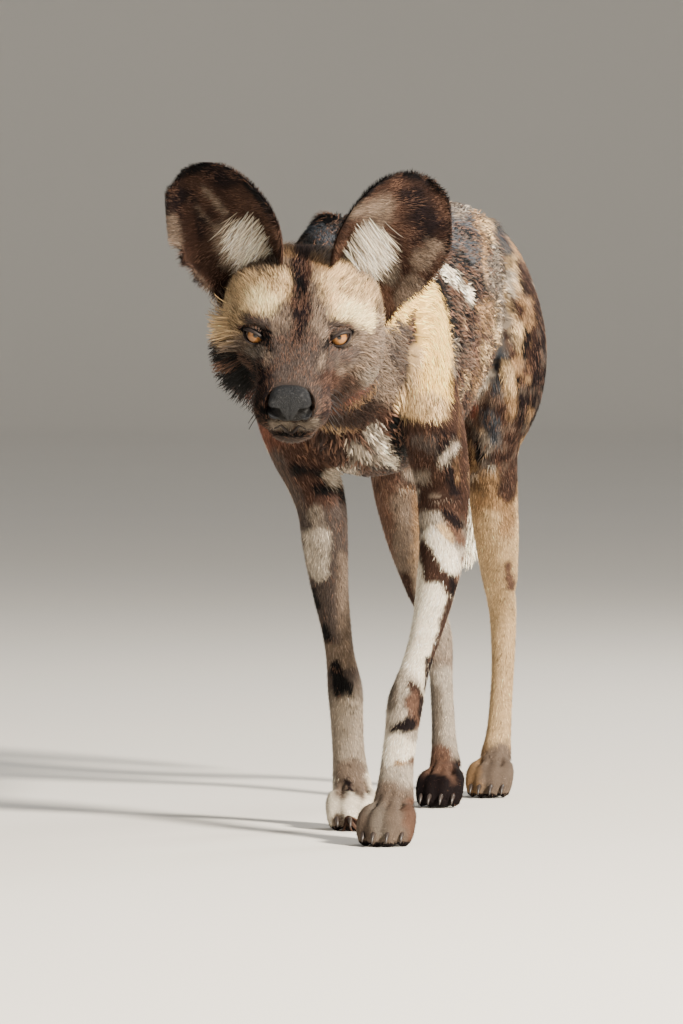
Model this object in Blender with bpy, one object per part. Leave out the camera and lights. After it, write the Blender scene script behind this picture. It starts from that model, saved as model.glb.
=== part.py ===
"""A life-size standing African wild dog, walking with its head low, in separate solids.

Metres, +Z up, the dog faces -Y and its left side is +X. The origin is on the floor under the middle
of its bounding box. Every station below is measured from the withers: y = 0 is under the withers.
"""

import math
import random

import bmesh
import bpy
import numpy as np
from mathutils import Matrix, Vector
from mathutils.bvhtree import BVHTree

# Where the middle of the bounding box lies, measured from the withers
ORIGIN = Vector((0.0167, 0.1279, 0.0))

# Gap that touching solids keep, and the meshing sizes
GAP = 0.0003
BODY_VOXEL = 0.0034
SMOOTH_ROUNDS = 6
HEAD_SMOOTH_ROUNDS = 8
BODY_TRIANGLES = 4500
RING_POINTS = 28
HEAD_FINENESS = 0.0045

# Head: the point midway between the eyes, and how the head is held
EYE_MIDDLE = Vector((0.0155, -0.378, 0.533))
HEAD_YAW = math.radians(7.4)
HEAD_PITCH = math.radians(22.5)
HEAD_ROLL = math.radians(1.5)

# Torso sections from chest to rump: y, middle z, half width, height above, depth below
TORSO = (
    (-0.150, 0.530, 0.034, 0.055, 0.050),
    (-0.118, 0.538, 0.062, 0.090, 0.098),
    (-0.065, 0.540, 0.078, 0.113, 0.142),
    (0.000, 0.540, 0.084, 0.122, 0.158),
    (0.070, 0.540, 0.087, 0.124, 0.160),
    (0.150, 0.540, 0.091, 0.125, 0.152),
    (0.240, 0.542, 0.090, 0.128, 0.136),
    (0.330, 0.552, 0.082, 0.126, 0.118),
    (0.410, 0.566, 0.072, 0.116, 0.100),
    (0.490, 0.582, 0.066, 0.099, 0.098),
    (0.550, 0.592, 0.052, 0.072, 0.084),
    (0.592, 0.600, 0.036, 0.040, 0.050),
)

# Neck sections from inside the chest to inside the skull, in the same order
NECK = (
    (-0.010, 0.556, 0.076, 0.104, 0.130),
    (-0.080, 0.556, 0.074, 0.096, 0.128),
    (-0.140, 0.554, 0.068, 0.086, 0.116),
    (-0.190, 0.552, 0.063, 0.078, 0.098),
    (-0.240, 0.552, 0.061, 0.074, 0.084),
    (-0.300, 0.552, 0.056, 0.060, 0.070),
)

# Foreleg sections from shoulder blade to pastern: half width, depth in front, depth behind
FORELEG_SECTIONS = (
    (0.020, 0.036, 0.040),
    (0.029, 0.048, 0.052),
    (0.033, 0.052, 0.056),
    (0.034, 0.048, 0.056),
    (0.033, 0.042, 0.050),
    (0.030, 0.033, 0.039),
    (0.0272, 0.027, 0.031),
    (0.0258, 0.0245, 0.026),
    (0.0215, 0.0205, 0.021),
    (0.0178, 0.0172, 0.018),
    (0.0172, 0.0165, 0.018),
    (0.0205, 0.0180, 0.0215),
    (0.0195, 0.0155, 0.0190),
    (0.0190, 0.0150, 0.0165),
    (0.0205, 0.0165, 0.0180),
    (0.0235, 0.0200, 0.0210),
)
FORELEG_PATHS = {
    "left": (
        (0.034, 0.030, 0.652), (0.055, 0.002, 0.600), (0.070, -0.038, 0.530),
        (0.079, -0.044, 0.470), (0.084, -0.020, 0.422), (0.088, -0.003, 0.378),
        (0.0895, -0.006, 0.340), (0.090, -0.014, 0.302), (0.085, -0.030, 0.252),
        (0.078, -0.048, 0.210), (0.0715, -0.066, 0.178), (0.0652, -0.082, 0.147),
        (0.063, -0.092, 0.117), (0.0615, -0.104, 0.087), (0.062, -0.118, 0.062),
        (0.0632, -0.132, 0.042),
    ),
    "right": (
        (-0.036, 0.030, 0.652), (-0.056, 0.006, 0.600), (-0.069, -0.030, 0.530),
        (-0.075, -0.038, 0.470), (-0.069, -0.014, 0.422), (-0.054, 0.000, 0.380),
        (-0.0448, 0.004, 0.345), (-0.0425, 0.010, 0.308), (-0.041, 0.026, 0.262),
        (-0.0385, 0.044, 0.220), (-0.0372, 0.060, 0.185), (-0.0352, 0.074, 0.150),
        (-0.035, 0.082, 0.120), (-0.0343, 0.086, 0.090), (-0.0318, 0.084, 0.064),
        (-0.0275, 0.077, 0.042),
    ),
}

# Hind leg sections from hip to pastern, in the same order
HINDLEG_SECTIONS = (
    (0.012, 0.036, 0.040),
    (0.028, 0.060, 0.062),
    (0.039, 0.072, 0.072),
    (0.038, 0.066, 0.068),
    (0.0305, 0.050, 0.054),
    (0.0278, 0.038, 0.042),
    (0.0258, 0.030, 0.033),
    (0.0218, 0.0235, 0.026),
    (0.0180, 0.0190, 0.0215),
    (0.0165, 0.0185, 0.0200),
    (0.0148, 0.0150, 0.0165),
    (0.0146, 0.0140, 0.0150),
    (0.0160, 0.0150, 0.0160),
    (0.0200, 0.0180, 0.0190),
)
HINDLEG_PATHS = {
    "left": (
        (0.034, 0.480, 0.655), (0.053, 0.492, 0.600), (0.064, 0.490, 0.530),
        (0.063, 0.480, 0.465), (0.047, 0.474, 0.405), (0.044, 0.494, 0.350),
        (0.0405, 0.530, 0.300), (0.0355, 0.572, 0.256), (0.0312, 0.604, 0.226),
        (0.030, 0.620, 0.200), (0.0293, 0.624, 0.155), (0.027, 0.624, 0.110),
        (0.0252, 0.618, 0.070), (0.024, 0.608, 0.044),
    ),
    "right": (
        (-0.034, 0.470, 0.655), (-0.052, 0.470, 0.600), (-0.060, 0.450, 0.530),
        (-0.060, 0.425, 0.465), (-0.0535, 0.412, 0.405), (-0.0505, 0.426, 0.350),
        (-0.044, 0.448, 0.300), (-0.0352, 0.472, 0.252), (-0.0262, 0.488, 0.215),
        (-0.0185, 0.492, 0.184), (-0.014, 0.482, 0.145), (-0.009, 0.468, 0.105),
        (-0.004, 0.452, 0.068), (0.000, 0.440, 0.044),
    ),
}

# Paws: middle of the pastern at the floor, size, and how far the toes turn to the dog's left
PAWS = {
    "forepaw_left": (0.0632, -0.140, 1.0, 0.0),
    "forepaw_right": (-0.0262, 0.072, 1.0, math.radians(17.0)),
    "hindpaw_left": (0.0240, 0.600, 0.88, 0.0),
    "hindpaw_right": (0.0010, 0.432, 0.88, 0.0),
}
TOE_OFFSETS = (-0.0205, -0.0075, 0.0075, 0.0205)
TOE_LENGTHS = (0.030, 0.042, 0.042, 0.030)
TOE_RADIUS = 0.0112

# Tail from root to the end of the bone: point and radius
TAIL = (
    ((0.000, 0.560, 0.640), 0.026),
    ((0.000, 0.600, 0.618), 0.022),
    ((-0.003, 0.636, 0.575), 0.018),
    ((-0.009, 0.664, 0.510), 0.016),
    ((-0.016, 0.680, 0.440), 0.014),
    ((-0.022, 0.686, 0.370), 0.012),
    ((-0.026, 0.684, 0.305), 0.009),
    ((-0.027, 0.680, 0.268), 0.005),
)

# Head sections, measured from the eye middle along the head: forward, middle height, half width, above, below
HEAD = (
    (-0.140, -0.004, 0.034, 0.034, 0.046),
    (-0.118, 0.000, 0.058, 0.052, 0.064),
    (-0.088, 0.002, 0.076, 0.060, 0.080),
    (-0.055, 0.000, 0.082, 0.056, 0.087),
    (-0.025, 0.000, 0.075, 0.043, 0.088),
    (0.000, -0.006, 0.061, 0.031, 0.080),
    (0.022, -0.014, 0.047, 0.023, 0.069),
    (0.048, -0.024, 0.0390, 0.020, 0.057),
    (0.074, -0.033, 0.0360, 0.020, 0.048),
    (0.088, -0.040, 0.0325, 0.020, 0.039),
    (0.097, -0.046, 0.0240, 0.015, 0.029),
)

# Blobs that round out the head, one on each side: forward, left, up, then the three radii
CHEEK = (-0.056, 0.044, -0.026, 0.050, 0.036, 0.050)
BROW = (-0.014, 0.036, 0.014, 0.028, 0.026, 0.016)
CHEEKBONE = (-0.018, 0.050, -0.020, 0.032, 0.014, 0.016)
WHISKER_PAD = (0.070, 0.0205, -0.046, 0.031, 0.0215, 0.024)
CHIN = (0.064, 0.0, -0.071, 0.028, 0.026, 0.014)
NOSE = (0.0905, 0.0, -0.0330, 0.0165, 0.0215, 0.0190)

# Eyes: place, radius, and the almond that the lids leave open
EYE_PLACE = (0.001, 0.0420, 0.0030)
EYE_RADIUS = 0.0118
LID_RADIUS = 0.0144
EYE_OUTWARD = math.radians(20.0)
EYE_UPWARD = math.radians(8.0)
LID_SLANT = math.radians(20.0)
LID_HALF_WIDTH = 0.0132
LID_UPPER = 0.0066
LID_LOWER = 0.0072

# Line of the mouth on the head's left half, from the front to the corner
MOUTH_LINE = (
    (0.096, 0.000, -0.063), (0.092, 0.014, -0.064), (0.082, 0.025, -0.066), (0.064, 0.033, -0.064),
    (0.044, 0.038, -0.060), (0.024, 0.044, -0.055), (0.010, 0.052, -0.051),
)
MOUTH_RADIUS = 0.0015

# Ears: middle of the base on the head, tilt outward, then rows up the ear as share, half width and cup depth
EARS = {
    "ear_left": (1, (-0.084, 0.0603, 0.026), math.radians(26.0)),
    "ear_right": (-1, (-0.084, 0.0537, 0.030), math.radians(23.5)),
}
# How much wider the half towards the middle of the head is, halfway up the ear
EAR_INNER = {"ear_left": 0.0, "ear_right": 0.14}
EAR_LENGTH = 0.134
EAR_ROWS = (
    (-0.22, 0.036, 0.036), (0.0, 0.043, 0.034), (0.15, 0.051, 0.032), (0.30, 0.0565, 0.028),
    (0.45, 0.0580, 0.024), (0.60, 0.056, 0.019), (0.75, 0.0495, 0.013), (0.87, 0.0395, 0.008),
    (0.95, 0.027, 0.004), (1.0, 0.012, 0.002),
)
EAR_THICK = 0.0048
EAR_RIM_THICK = 0.0022
EAR_CELLS = (11, 12)

# Long coat as locks: rows of root places, how they lie, length, width, thickness, stand at the tip
CHEEK_LOCKS = (
    (-0.040, 0.090, 0.006), (-0.036, 0.088, -0.020), (-0.030, 0.080, -0.044), (-0.024, 0.064, -0.066),
    (-0.054, 0.090, -0.006), (-0.050, 0.090, -0.032), (-0.042, 0.078, -0.056), (-0.040, 0.060, -0.078),
    (-0.068, 0.090, 0.010), (-0.066, 0.090, -0.018), (-0.060, 0.086, -0.044), (-0.056, 0.072, -0.068),
)
THROAT_LOCKS = (
    (-0.030, 0.012), (-0.030, -0.012), (-0.048, 0.030), (-0.048, 0.0), (-0.048, -0.030),
    (-0.066, 0.046), (-0.066, 0.016), (-0.066, -0.016), (-0.066, -0.046),
)
NECK_LOCK_ROWS = (-0.212, -0.192, -0.172)
NECK_LOCK_TURNS = (-75, -45, -15, 15, 45, 75)
TAIL_LOCK_SHARES = (0.04, 0.20, 0.36, 0.52, 0.66)
TAIL_LOCKS_AROUND = 4
LOCK_LIFTS = (0.0, 0.004, 0.008, 0.012)
LOCK_SIZE = (0.054, 0.0150, 0.0046, 0.0170)
TAIL_LOCK_SIZE = (0.078, 0.0190, 0.0042, 0.0150)

# Colours of the solids, linear, with roughness
COLOURS = {
    "head": ((0.130, 0.100, 0.078), 0.90), "nose": ((0.024, 0.026, 0.031), 0.45),
    "eye_left": ((0.300, 0.110, 0.020), 0.08), "eye_right": ((0.300, 0.110, 0.020), 0.08),
    "ear_left": ((0.060, 0.036, 0.028), 0.92), "ear_right": ((0.060, 0.036, 0.028), 0.92),
    "neck": ((0.420, 0.310, 0.170), 0.90), "chest": ((0.100, 0.080, 0.068), 0.90),
    "hindquarters": ((0.170, 0.120, 0.075), 0.90), "tail_base": ((0.230, 0.150, 0.080), 0.90),
    "tail_brush": ((0.640, 0.600, 0.540), 0.92), "upper_arm_left": ((0.085, 0.060, 0.050), 0.90),
    "upper_arm_right": ((0.200, 0.130, 0.085), 0.90), "forearm_left": ((0.600, 0.570, 0.520), 0.90),
    "forearm_right": ((0.230, 0.170, 0.115), 0.90), "thigh_left": ((0.190, 0.130, 0.078), 0.90),
    "thigh_right": ((0.150, 0.095, 0.060), 0.90), "shank_left": ((0.420, 0.300, 0.160), 0.90),
    "shank_right": ((0.450, 0.410, 0.360), 0.90), "forepaw_left": ((0.330, 0.270, 0.200), 0.90),
    "forepaw_right": ((0.600, 0.560, 0.500), 0.90), "hindpaw_left": ((0.300, 0.230, 0.150), 0.90),
    "hindpaw_right": ((0.120, 0.090, 0.070), 0.90),
}


def frame_of_head():
    """The head's own axes in the world: forward, to the dog's left, up."""
    turn = Matrix.Rotation(HEAD_YAW, 3, "Z") @ Matrix.Rotation(HEAD_PITCH, 3, "X")
    turn = turn @ Matrix.Rotation(HEAD_ROLL, 3, "Y")
    return turn @ Vector((0, -1, 0)), turn @ Vector((1, 0, 0)), turn @ Vector((0, 0, 1))


HEAD_FORWARD, HEAD_LEFT, HEAD_UP = frame_of_head()


def on_head(forward, left, up):
    """A point of the head, given along the head's own axes from the middle of the eyes."""
    return EYE_MIDDLE + HEAD_FORWARD * forward + HEAD_LEFT * left + HEAD_UP * up


def curve_through(rows, steps):
    """Rows of numbers made finer by a Catmull-Rom curve through them."""
    rows = np.array(rows, float)
    padded = np.vstack([2 * rows[0] - rows[1], rows, 2 * rows[-1] - rows[-2]])
    fine = []
    for i in range(len(rows) - 1):
        a, b, c, d = padded[i : i + 4]
        for t in np.arange(steps) / steps:
            fine.append(
                0.5 * (2 * b + (c - a) * t + (2 * a - 5 * b + 4 * c - d) * t**2 + (3 * b - a - 3 * c + d) * t**3)
            )
    return np.array(fine + [rows[-1]])


class Clay:
    """Closed tubes and blobs gathered in one mesh, to be fused by a voxel remesh."""

    def __init__(self):
        self.points, self.faces = [], []

    def add(self, points, faces):
        start = len(self.points)
        self.points += [tuple(p) for p in points]
        self.faces += [tuple(start + i for i in face) for face in faces]

    def tube(self, points, sizes, up, steps=4, square=2.2, sides=RING_POINTS):
        """A tube through points. Each size is half width, reach towards up, reach away from it."""
        rows = np.hstack([np.array(points, float), np.array(sizes, float)])
        fine = curve_through(rows, steps) if steps > 1 else rows
        centres, sizes = fine[:, :3], np.maximum(fine[:, 3:], 0.0005)
        along = np.gradient(centres, axis=0)
        along /= np.linalg.norm(along, axis=1)[:, None]
        rings = []
        for centre, way, (half, above, below) in zip(centres, along, sizes):
            high = np.array(up) - way * np.dot(up, way)
            high /= np.linalg.norm(high)
            side = np.cross(way, high)
            turn = np.linspace(0, 2 * math.pi, sides, endpoint=False)
            c, s = np.cos(turn), np.sin(turn)
            c = np.sign(c) * np.abs(c) ** (2 / square)
            s = np.sign(s) * np.abs(s) ** (2 / square)
            reach = np.where(s > 0, above, below)
            rings.append(centre + np.outer(c * half, side) + np.outer(s * reach, high))
        points = [p for ring in rings for p in ring] + [centres[0], centres[-1]]
        faces, last = [], (len(rings) - 1) * sides
        for r in range(len(rings) - 1):
            for k in range(sides):
                n = (k + 1) % sides
                faces.append((r * sides + k, r * sides + n, (r + 1) * sides + n, (r + 1) * sides + k))
        for k in range(sides):
            n = (k + 1) % sides
            faces.append((len(points) - 2, n, k))
            faces.append((len(points) - 1, last + k, last + n))
        self.add(points, faces)

    def blob(self, centre, axes, radii, cuts=3):
        """An ellipsoid with the given axes and radii."""
        ball = bmesh.new()
        bmesh.ops.create_icosphere(ball, subdivisions=cuts, radius=1.0)
        points = []
        for v in ball.verts:
            offset = sum((Vector(axis) * (r * v.co[i]) for i, (axis, r) in enumerate(zip(axes, radii))), Vector())
            points.append(Vector(centre) + offset)
        self.add(points, [[v.index for v in f.verts] for f in ball.faces])
        ball.free()

    def as_object(self, name):
        mesh = bpy.data.meshes.new(name)
        mesh.from_pydata(self.points, [], self.faces)
        tidy = bmesh.new()
        tidy.from_mesh(mesh)
        bmesh.ops.recalc_face_normals(tidy, faces=tidy.faces)
        tidy.to_mesh(mesh)
        tidy.free()
        made = bpy.data.objects.new(name, mesh)
        bpy.context.scene.collection.objects.link(made)
        return made


def bake(obj):
    """Applies every modifier of obj."""
    bpy.context.view_layer.update()
    graph = bpy.context.evaluated_depsgraph_get()
    mesh = bpy.data.meshes.new_from_object(obj.evaluated_get(graph))
    old = obj.data
    obj.modifiers.clear()
    obj.data = mesh
    bpy.data.meshes.remove(old)
    return obj


def points_of(obj):
    found = np.empty(len(obj.data.vertices) * 3, np.float32)
    obj.data.vertices.foreach_get("co", found)
    return found.reshape(-1, 3).astype(float)


def set_points(obj, points):
    obj.data.vertices.foreach_set("co", points.astype(np.float32).ravel())
    obj.data.update()


def leg(clay, path, sections):
    clay.tube(path, sections, (0, -1, 0))


def paw_point(place, aside, forward, up):
    """A point of a paw, given to the dog's left, forward and up from the middle of its pastern."""
    x, y, scale, turn = place
    c, s = math.cos(turn), math.sin(turn)
    return (x + aside * c + forward * s, y + aside * s - forward * c, up)


def paw_axes(place):
    """The paw's own axes: to the dog's left, backward, up."""
    c, s = math.cos(place[3]), math.sin(place[3])
    return ((c, s, 0), (-s, c, 0), (0, 0, 1))


def paw(clay, place):
    """A pad with four toes that points forward, its middle under the pastern."""
    scale = place[2]
    clay.blob(paw_point(place, 0, 0.004, 0.026), paw_axes(place), (0.0255 * scale, 0.027, 0.027))
    for offset, length in zip(TOE_OFFSETS, TOE_LENGTHS):
        side, reach = offset * scale, length * scale
        toe = (paw_point(place, side * 0.6, 0, 0.034), paw_point(place, side * 0.95, 0.55 * reach + 0.008, 0.029),
               paw_point(place, side, reach + 0.008, 0.012), paw_point(place, side, reach + 0.016, 0.006))
        sizes = [[TOE_RADIUS * scale * k] * 3 for k in (1.1, 1.15, 1.0, 0.5)]
        clay.tube(toe, sizes, (0, 0, 1), square=2.0, sides=16)


def head_blob(clay, row, sign=1, radius_extra=0.0):
    forward, left, up, *radii = row
    axes = (HEAD_FORWARD, HEAD_LEFT, HEAD_UP)
    clay.blob(on_head(forward, left * sign, up), axes, [r + radius_extra for r in radii])


def body_clay():
    """The whole dog without its ears, as overlapping tubes and blobs."""
    clay = Clay()
    clay.tube([(0, y, z) for y, z, *_ in TORSO], [row[2:] for row in TORSO], (0, 0, 1))
    clay.tube([(0.001 * k, y, z) for k, (y, z, *_) in enumerate(NECK)], [row[2:] for row in NECK], (0, 0, 1))
    for side in ("left", "right"):
        leg(clay, FORELEG_PATHS[side], FORELEG_SECTIONS)
        leg(clay, HINDLEG_PATHS[side], HINDLEG_SECTIONS)
    for place in PAWS.values():
        paw(clay, place)
    clay.tube([p for p, _ in TAIL], [(r, r, r) for _, r in TAIL], (0, 1, 0.2))
    clay.tube([on_head(f, 0, u) for f, u, *_ in HEAD], [row[2:] for row in HEAD], HEAD_UP, square=2.3)
    for sign in (-1, 1):
        for row in (CHEEK, BROW, CHEEKBONE, WHISKER_PAD):
            head_blob(clay, row, sign)
    head_blob(clay, CHIN)
    head_blob(clay, NOSE)
    return clay


def press(points, centre, radius, push):
    """Moves the points near centre by push, fading to nothing at the radius."""
    away = np.linalg.norm(points - np.array(centre), axis=1) / radius
    share = np.clip(1 - away**2, 0, 1) ** 2
    return points + share[:, None] * np.array(push)


def eye_frame(sign):
    """Middle of an eye, the way it looks, its long axis towards the outer corner, and across it."""
    look = HEAD_FORWARD * math.cos(EYE_OUTWARD) + HEAD_LEFT * (sign * math.sin(EYE_OUTWARD))
    look = (look * math.cos(EYE_UPWARD) + HEAD_UP * math.sin(EYE_UPWARD)).normalized()
    level = (HEAD_LEFT * sign - look * look.dot(HEAD_LEFT * sign)).normalized()
    upward = HEAD_UP - look * look.dot(HEAD_UP) - level * level.dot(HEAD_UP)
    upward.normalize()
    outer = level * math.cos(LID_SLANT) + upward * math.sin(LID_SLANT)
    across = upward * math.cos(LID_SLANT) - level * math.sin(LID_SLANT)
    forward, left, up = EYE_PLACE
    return on_head(forward, left * sign, up), look, outer, across


def shape_head(points):
    """Eye hollows, the dip before the brow and the hollow behind the nose."""
    for sign in (-1, 1):
        middle, look, outer, across = eye_frame(sign)
        points = press(points, middle + look * 0.017, 0.026, -look * 0.0080)
        points = press(points, on_head(0.030, 0.040 * sign, -0.026), 0.022, -HEAD_LEFT * (0.004 * sign))
    return press(points, on_head(-0.030, 0, 0.045), 0.030, -HEAD_UP * 0.003)


def flat_soles(points):
    """Sets the undersides of the paws on one level."""
    points[:, 2] -= 0.0035 * np.exp(-((points[:, 2] / 0.010) ** 2))
    points[:, 2] = np.maximum(points[:, 2], 0.0)
    return points


def keep_largest(obj):
    """Leaves only the largest closed surface of obj."""
    mesh = bmesh.new()
    mesh.from_mesh(obj.data)
    bmesh.ops.remove_doubles(mesh, verts=mesh.verts, dist=0.00002)
    bmesh.ops.dissolve_degenerate(mesh, edges=mesh.edges, dist=0.00001)
    seen, parts = set(), []
    for start in mesh.verts:
        if start in seen:
            continue
        seen.add(start)
        stack, part = [start], []
        while stack:
            v = stack.pop()
            part.append(v)
            for edge in v.link_edges:
                other = edge.other_vert(v)
                if other not in seen:
                    seen.add(other)
                    stack.append(other)
        parts.append(part)
    parts.sort(key=len)
    for part in parts[:-1]:
        bmesh.ops.delete(mesh, geom=part, context="VERTS")
    bmesh.ops.triangulate(mesh, faces=mesh.faces)
    mesh.to_mesh(obj.data)
    mesh.free()
    return obj


def combine(obj, operation, clays, solver="EXACT"):
    """Joins obj with, cuts it by or keeps only what it shares with closed solids, then drops the solids."""
    others = [clay.as_object("cutter") if isinstance(clay, Clay) else clay for clay in clays]
    bin_ = bpy.data.collections.new("cutters")
    bpy.context.scene.collection.children.link(bin_)
    for other in others:
        bin_.objects.link(other)
        other.display_type = "WIRE"
        other.hide_render = True
    step = obj.modifiers.new("combine", "BOOLEAN")
    step.operation = operation
    step.solver = solver
    if len(others) > 1:
        step.operand_type = "COLLECTION"
        step.collection = bin_
    else:
        step.object = others[0]
    bake(obj)
    for clay, other in zip(clays, others):
        if isinstance(clay, Clay):
            bpy.data.objects.remove(other)
        else:
            bin_.objects.unlink(other)
            other.display_type = "TEXTURED"
            other.hide_render = False
    bpy.data.collections.remove(bin_)
    return keep_largest(obj)


def copy_of(obj, name):
    made = bpy.data.objects.new(name, obj.data.copy())
    bpy.context.scene.collection.objects.link(made)
    return made


def take(whole, region, name):
    """Parts a piece from the whole: region(grow) gives the solid that holds it, grown by a margin."""
    piece = combine(copy_of(whole, name), "INTERSECT", [region(0.0)])
    combine(whole, "DIFFERENCE", [region(GAP)])
    return piece


def leg_region(path, sections, first, last, swell):
    """A tube round the stretch of a leg between two stations, with a flat end at the first."""

    def region(grow):
        points = [Vector(p) for p in path[first : last + 1]]
        way = (points[1] - points[0]).normalized()
        points[0] = points[0] - way * grow
        sizes = [[r + swell + grow for r in row] for row in sections[first : last + 1]]
        clay = Clay()
        clay.tube(points, sizes, (0, -1, 0), steps=2, sides=14)
        return clay

    return region


def block_region(corner, axes, low, high):
    """A box along the given axes, from low to high measured from a corner point."""

    def region(grow):
        clay = Clay()
        ends = [(a - grow, b + grow) for a, b in zip(low, high)]
        points = []
        for k in range(8):
            spot = Vector(corner)
            for i in range(3):
                spot = spot + Vector(axes[i]) * ends[i][(k >> i) & 1]
            points.append(spot)
        faces = ((0, 2, 3, 1), (4, 5, 7, 6), (0, 1, 5, 4), (2, 6, 7, 3), (0, 4, 6, 2), (1, 3, 7, 5))
        clay.add(points, faces)
        return clay

    return region


WORLD_AXES = ((1, 0, 0), (0, 1, 0), (0, 0, 1))


def paw_region(place, top):
    x, y, *_ = place
    return block_region((x, y, 0), paw_axes(place), (-0.045, -0.075, -0.02), (0.045, 0.045, top))


def nose_region(grow):
    clay = Clay()
    forward, left, up, *radii = NOSE
    axes = (HEAD_FORWARD, HEAD_LEFT, HEAD_UP)
    clay.blob(on_head(forward + 0.006, left, up - 0.001), axes, [r + 0.0015 + grow for r in radii])
    return clay


def tail_region(first, last, swell):
    def region(grow):
        points = [Vector(p) for p, _ in TAIL[first : last + 1]]
        way = (points[1] - points[0]).normalized()
        points[0] = points[0] - way * grow
        points.append(points[-1] + (points[-1] - points[-2]).normalized() * 0.03)
        sizes = [[r + swell + grow] * 3 for _, r in TAIL[first : last + 1]]
        sizes.append(sizes[-1])
        clay = Clay()
        clay.tube(points, sizes, (0, 1, 0.2), steps=1, sides=12)
        return clay

    return region


def whole_body():
    """One closed skin for the dog without ears, light enough for solids."""
    body = body_clay().as_object("body")
    remesh = body.modifiers.new("fuse", "REMESH")
    remesh.mode = "VOXEL"
    remesh.voxel_size = BODY_VOXEL
    bake(body)
    smooth = body.modifiers.new("smooth", "SMOOTH")
    smooth.iterations = SMOOTH_ROUNDS
    smooth.factor = 0.5
    bake(body)
    local = (points_of(body) - np.array(EYE_MIDDLE)) @ np.array(HEAD_FORWARD)
    skull = body.vertex_groups.new(name="skull")
    for lower, upper, weight in ((-0.11, 0.075, 1.0), (0.075, 0.084, 0.4)):
        chosen = np.nonzero((local > lower) & (local <= upper) & (points_of(body)[:, 2] > 0.38))[0]
        skull.add([int(i) for i in chosen], weight, "REPLACE")
    smooth = body.modifiers.new("smooth", "SMOOTH")
    smooth.iterations = HEAD_SMOOTH_ROUNDS
    smooth.factor = 0.5
    smooth.vertex_group = "skull"
    bake(body)
    body.vertex_groups.clear()
    points = flat_soles(shape_head(points_of(body)))
    set_points(body, points)
    fine = body.vertex_groups.new(name="fine")
    local = (points - np.array(EYE_MIDDLE)) @ np.array(HEAD_FORWARD)
    chosen = np.nonzero((local > -0.09) & (points[:, 2] > 0.38) & (points[:, 1] < -0.2))[0]
    fine.add(list(range(len(points))), 1.0, "REPLACE")
    fine.add([int(i) for i in chosen], 0.5, "REPLACE")
    fine.add([int(i) for i in np.nonzero(points[:, 2] < 0.06)[0]], 0.9, "REPLACE")
    thin = body.modifiers.new("thin", "DECIMATE")
    thin.ratio = BODY_TRIANGLES / (2 * len(body.data.polygons))
    thin.vertex_group = "fine"
    thin.vertex_group_factor = HEAD_FINENESS
    bake(body)
    body.vertex_groups.clear()
    points = points_of(body)
    points[:, 2] = np.where(points[:, 2] < 0.0009, 0.0, points[:, 2])
    set_points(body, points)
    return keep_largest(body)


def ear(name):
    """A cupped ear as a thin curved plate, triangulated alike on both faces."""
    sign, base, tilt = EARS[name]
    rows = curve_through(EAR_ROWS, 5)
    across, along = EAR_CELLS
    shares = -0.22 + 1.22 * (1 - (1 - np.linspace(0, 1, along + 1)) ** 1.25)
    axis = HEAD_UP * math.cos(tilt) + HEAD_LEFT * (sign * math.sin(tilt)) - HEAD_FORWARD * 0.10
    axis.normalize()
    outward = HEAD_LEFT * (sign * math.cos(tilt)) - HEAD_UP * math.sin(tilt) - HEAD_FORWARD * 0.28
    outward = (outward - axis * outward.dot(axis)).normalized()
    opening = outward.cross(axis) * sign
    if opening.dot(HEAD_FORWARD) < 0:
        opening = -opening
    middle = np.zeros((along + 1, across + 1, 3))
    for i, share in enumerate(shares):
        half = np.interp(share, rows[:, 0], rows[:, 1])
        depth = np.interp(share, rows[:, 0], rows[:, 2])
        for k in range(across + 1):
            u = -math.cos(math.pi * (0.08 + 0.84 * k / across)) / math.cos(math.pi * 0.08)
            wide = half * (1 + (EAR_INNER[name] * math.sin(math.pi * min(max(share, 0), 1)) if u < 0 else 0))
            lift = depth * (1 - abs(u) ** 2.2)
            bow = 0.010 * math.sin(math.pi * max(share, 0.0))
            spot = on_head(*(base[0], base[1] * sign, base[2]))
            spot = spot + axis * (EAR_LENGTH * share) + outward * (wide * u) + opening * (0.012 + bow - lift)
            middle[i, k] = spot
    du = np.gradient(middle, axis=1)
    dv = np.gradient(middle, axis=0)
    normal = np.cross(du, dv)
    normal /= np.linalg.norm(normal, axis=2)[..., None]
    u = np.abs(np.linspace(-1, 1, across + 1))[None, :, None]
    v = np.clip(shares, 0, 1)[:, None, None]
    rim = np.clip(np.maximum(u, v) ** 3, 0, 1)
    half = 0.5 * (EAR_THICK * (1 - rim) + EAR_RIM_THICK * rim)
    wide = across + 1
    clay = Clay()
    faces, count = [], (along + 1) * wide
    for i in range(along):
        for k in range(across):
            a, b, c, d = i * wide + k, i * wide + k + 1, (i + 1) * wide + k + 1, (i + 1) * wide + k
            for tri in ((a, b, c), (a, c, d)):
                faces.append(tri)
                faces.append(tuple(count + n for n in reversed(tri)))
    loop = [k for k in range(across)]
    loop += [i * wide + across for i in range(along)]
    loop += [along * wide + k for k in range(across, 0, -1)]
    loop += [i * wide for i in range(along, 0, -1)]
    for a, b in zip(loop, loop[1:] + loop[:1]):
        faces.append((a, count + a, count + b))
        faces.append((a, count + b, b))
    clay.add(np.vstack([(middle + normal * half).reshape(-1, 3), (middle - normal * half).reshape(-1, 3)]), faces)
    return clay.as_object(name)


def grown(obj, margin):
    """A copy of obj with every point moved out along its normal."""
    made = copy_of(obj, "grown")
    normals = np.empty(len(made.data.vertices) * 3, np.float32)
    made.data.vertices.foreach_get("normal", normals)
    set_points(made, points_of(made) + normals.reshape(-1, 3) * margin)
    return made


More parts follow.
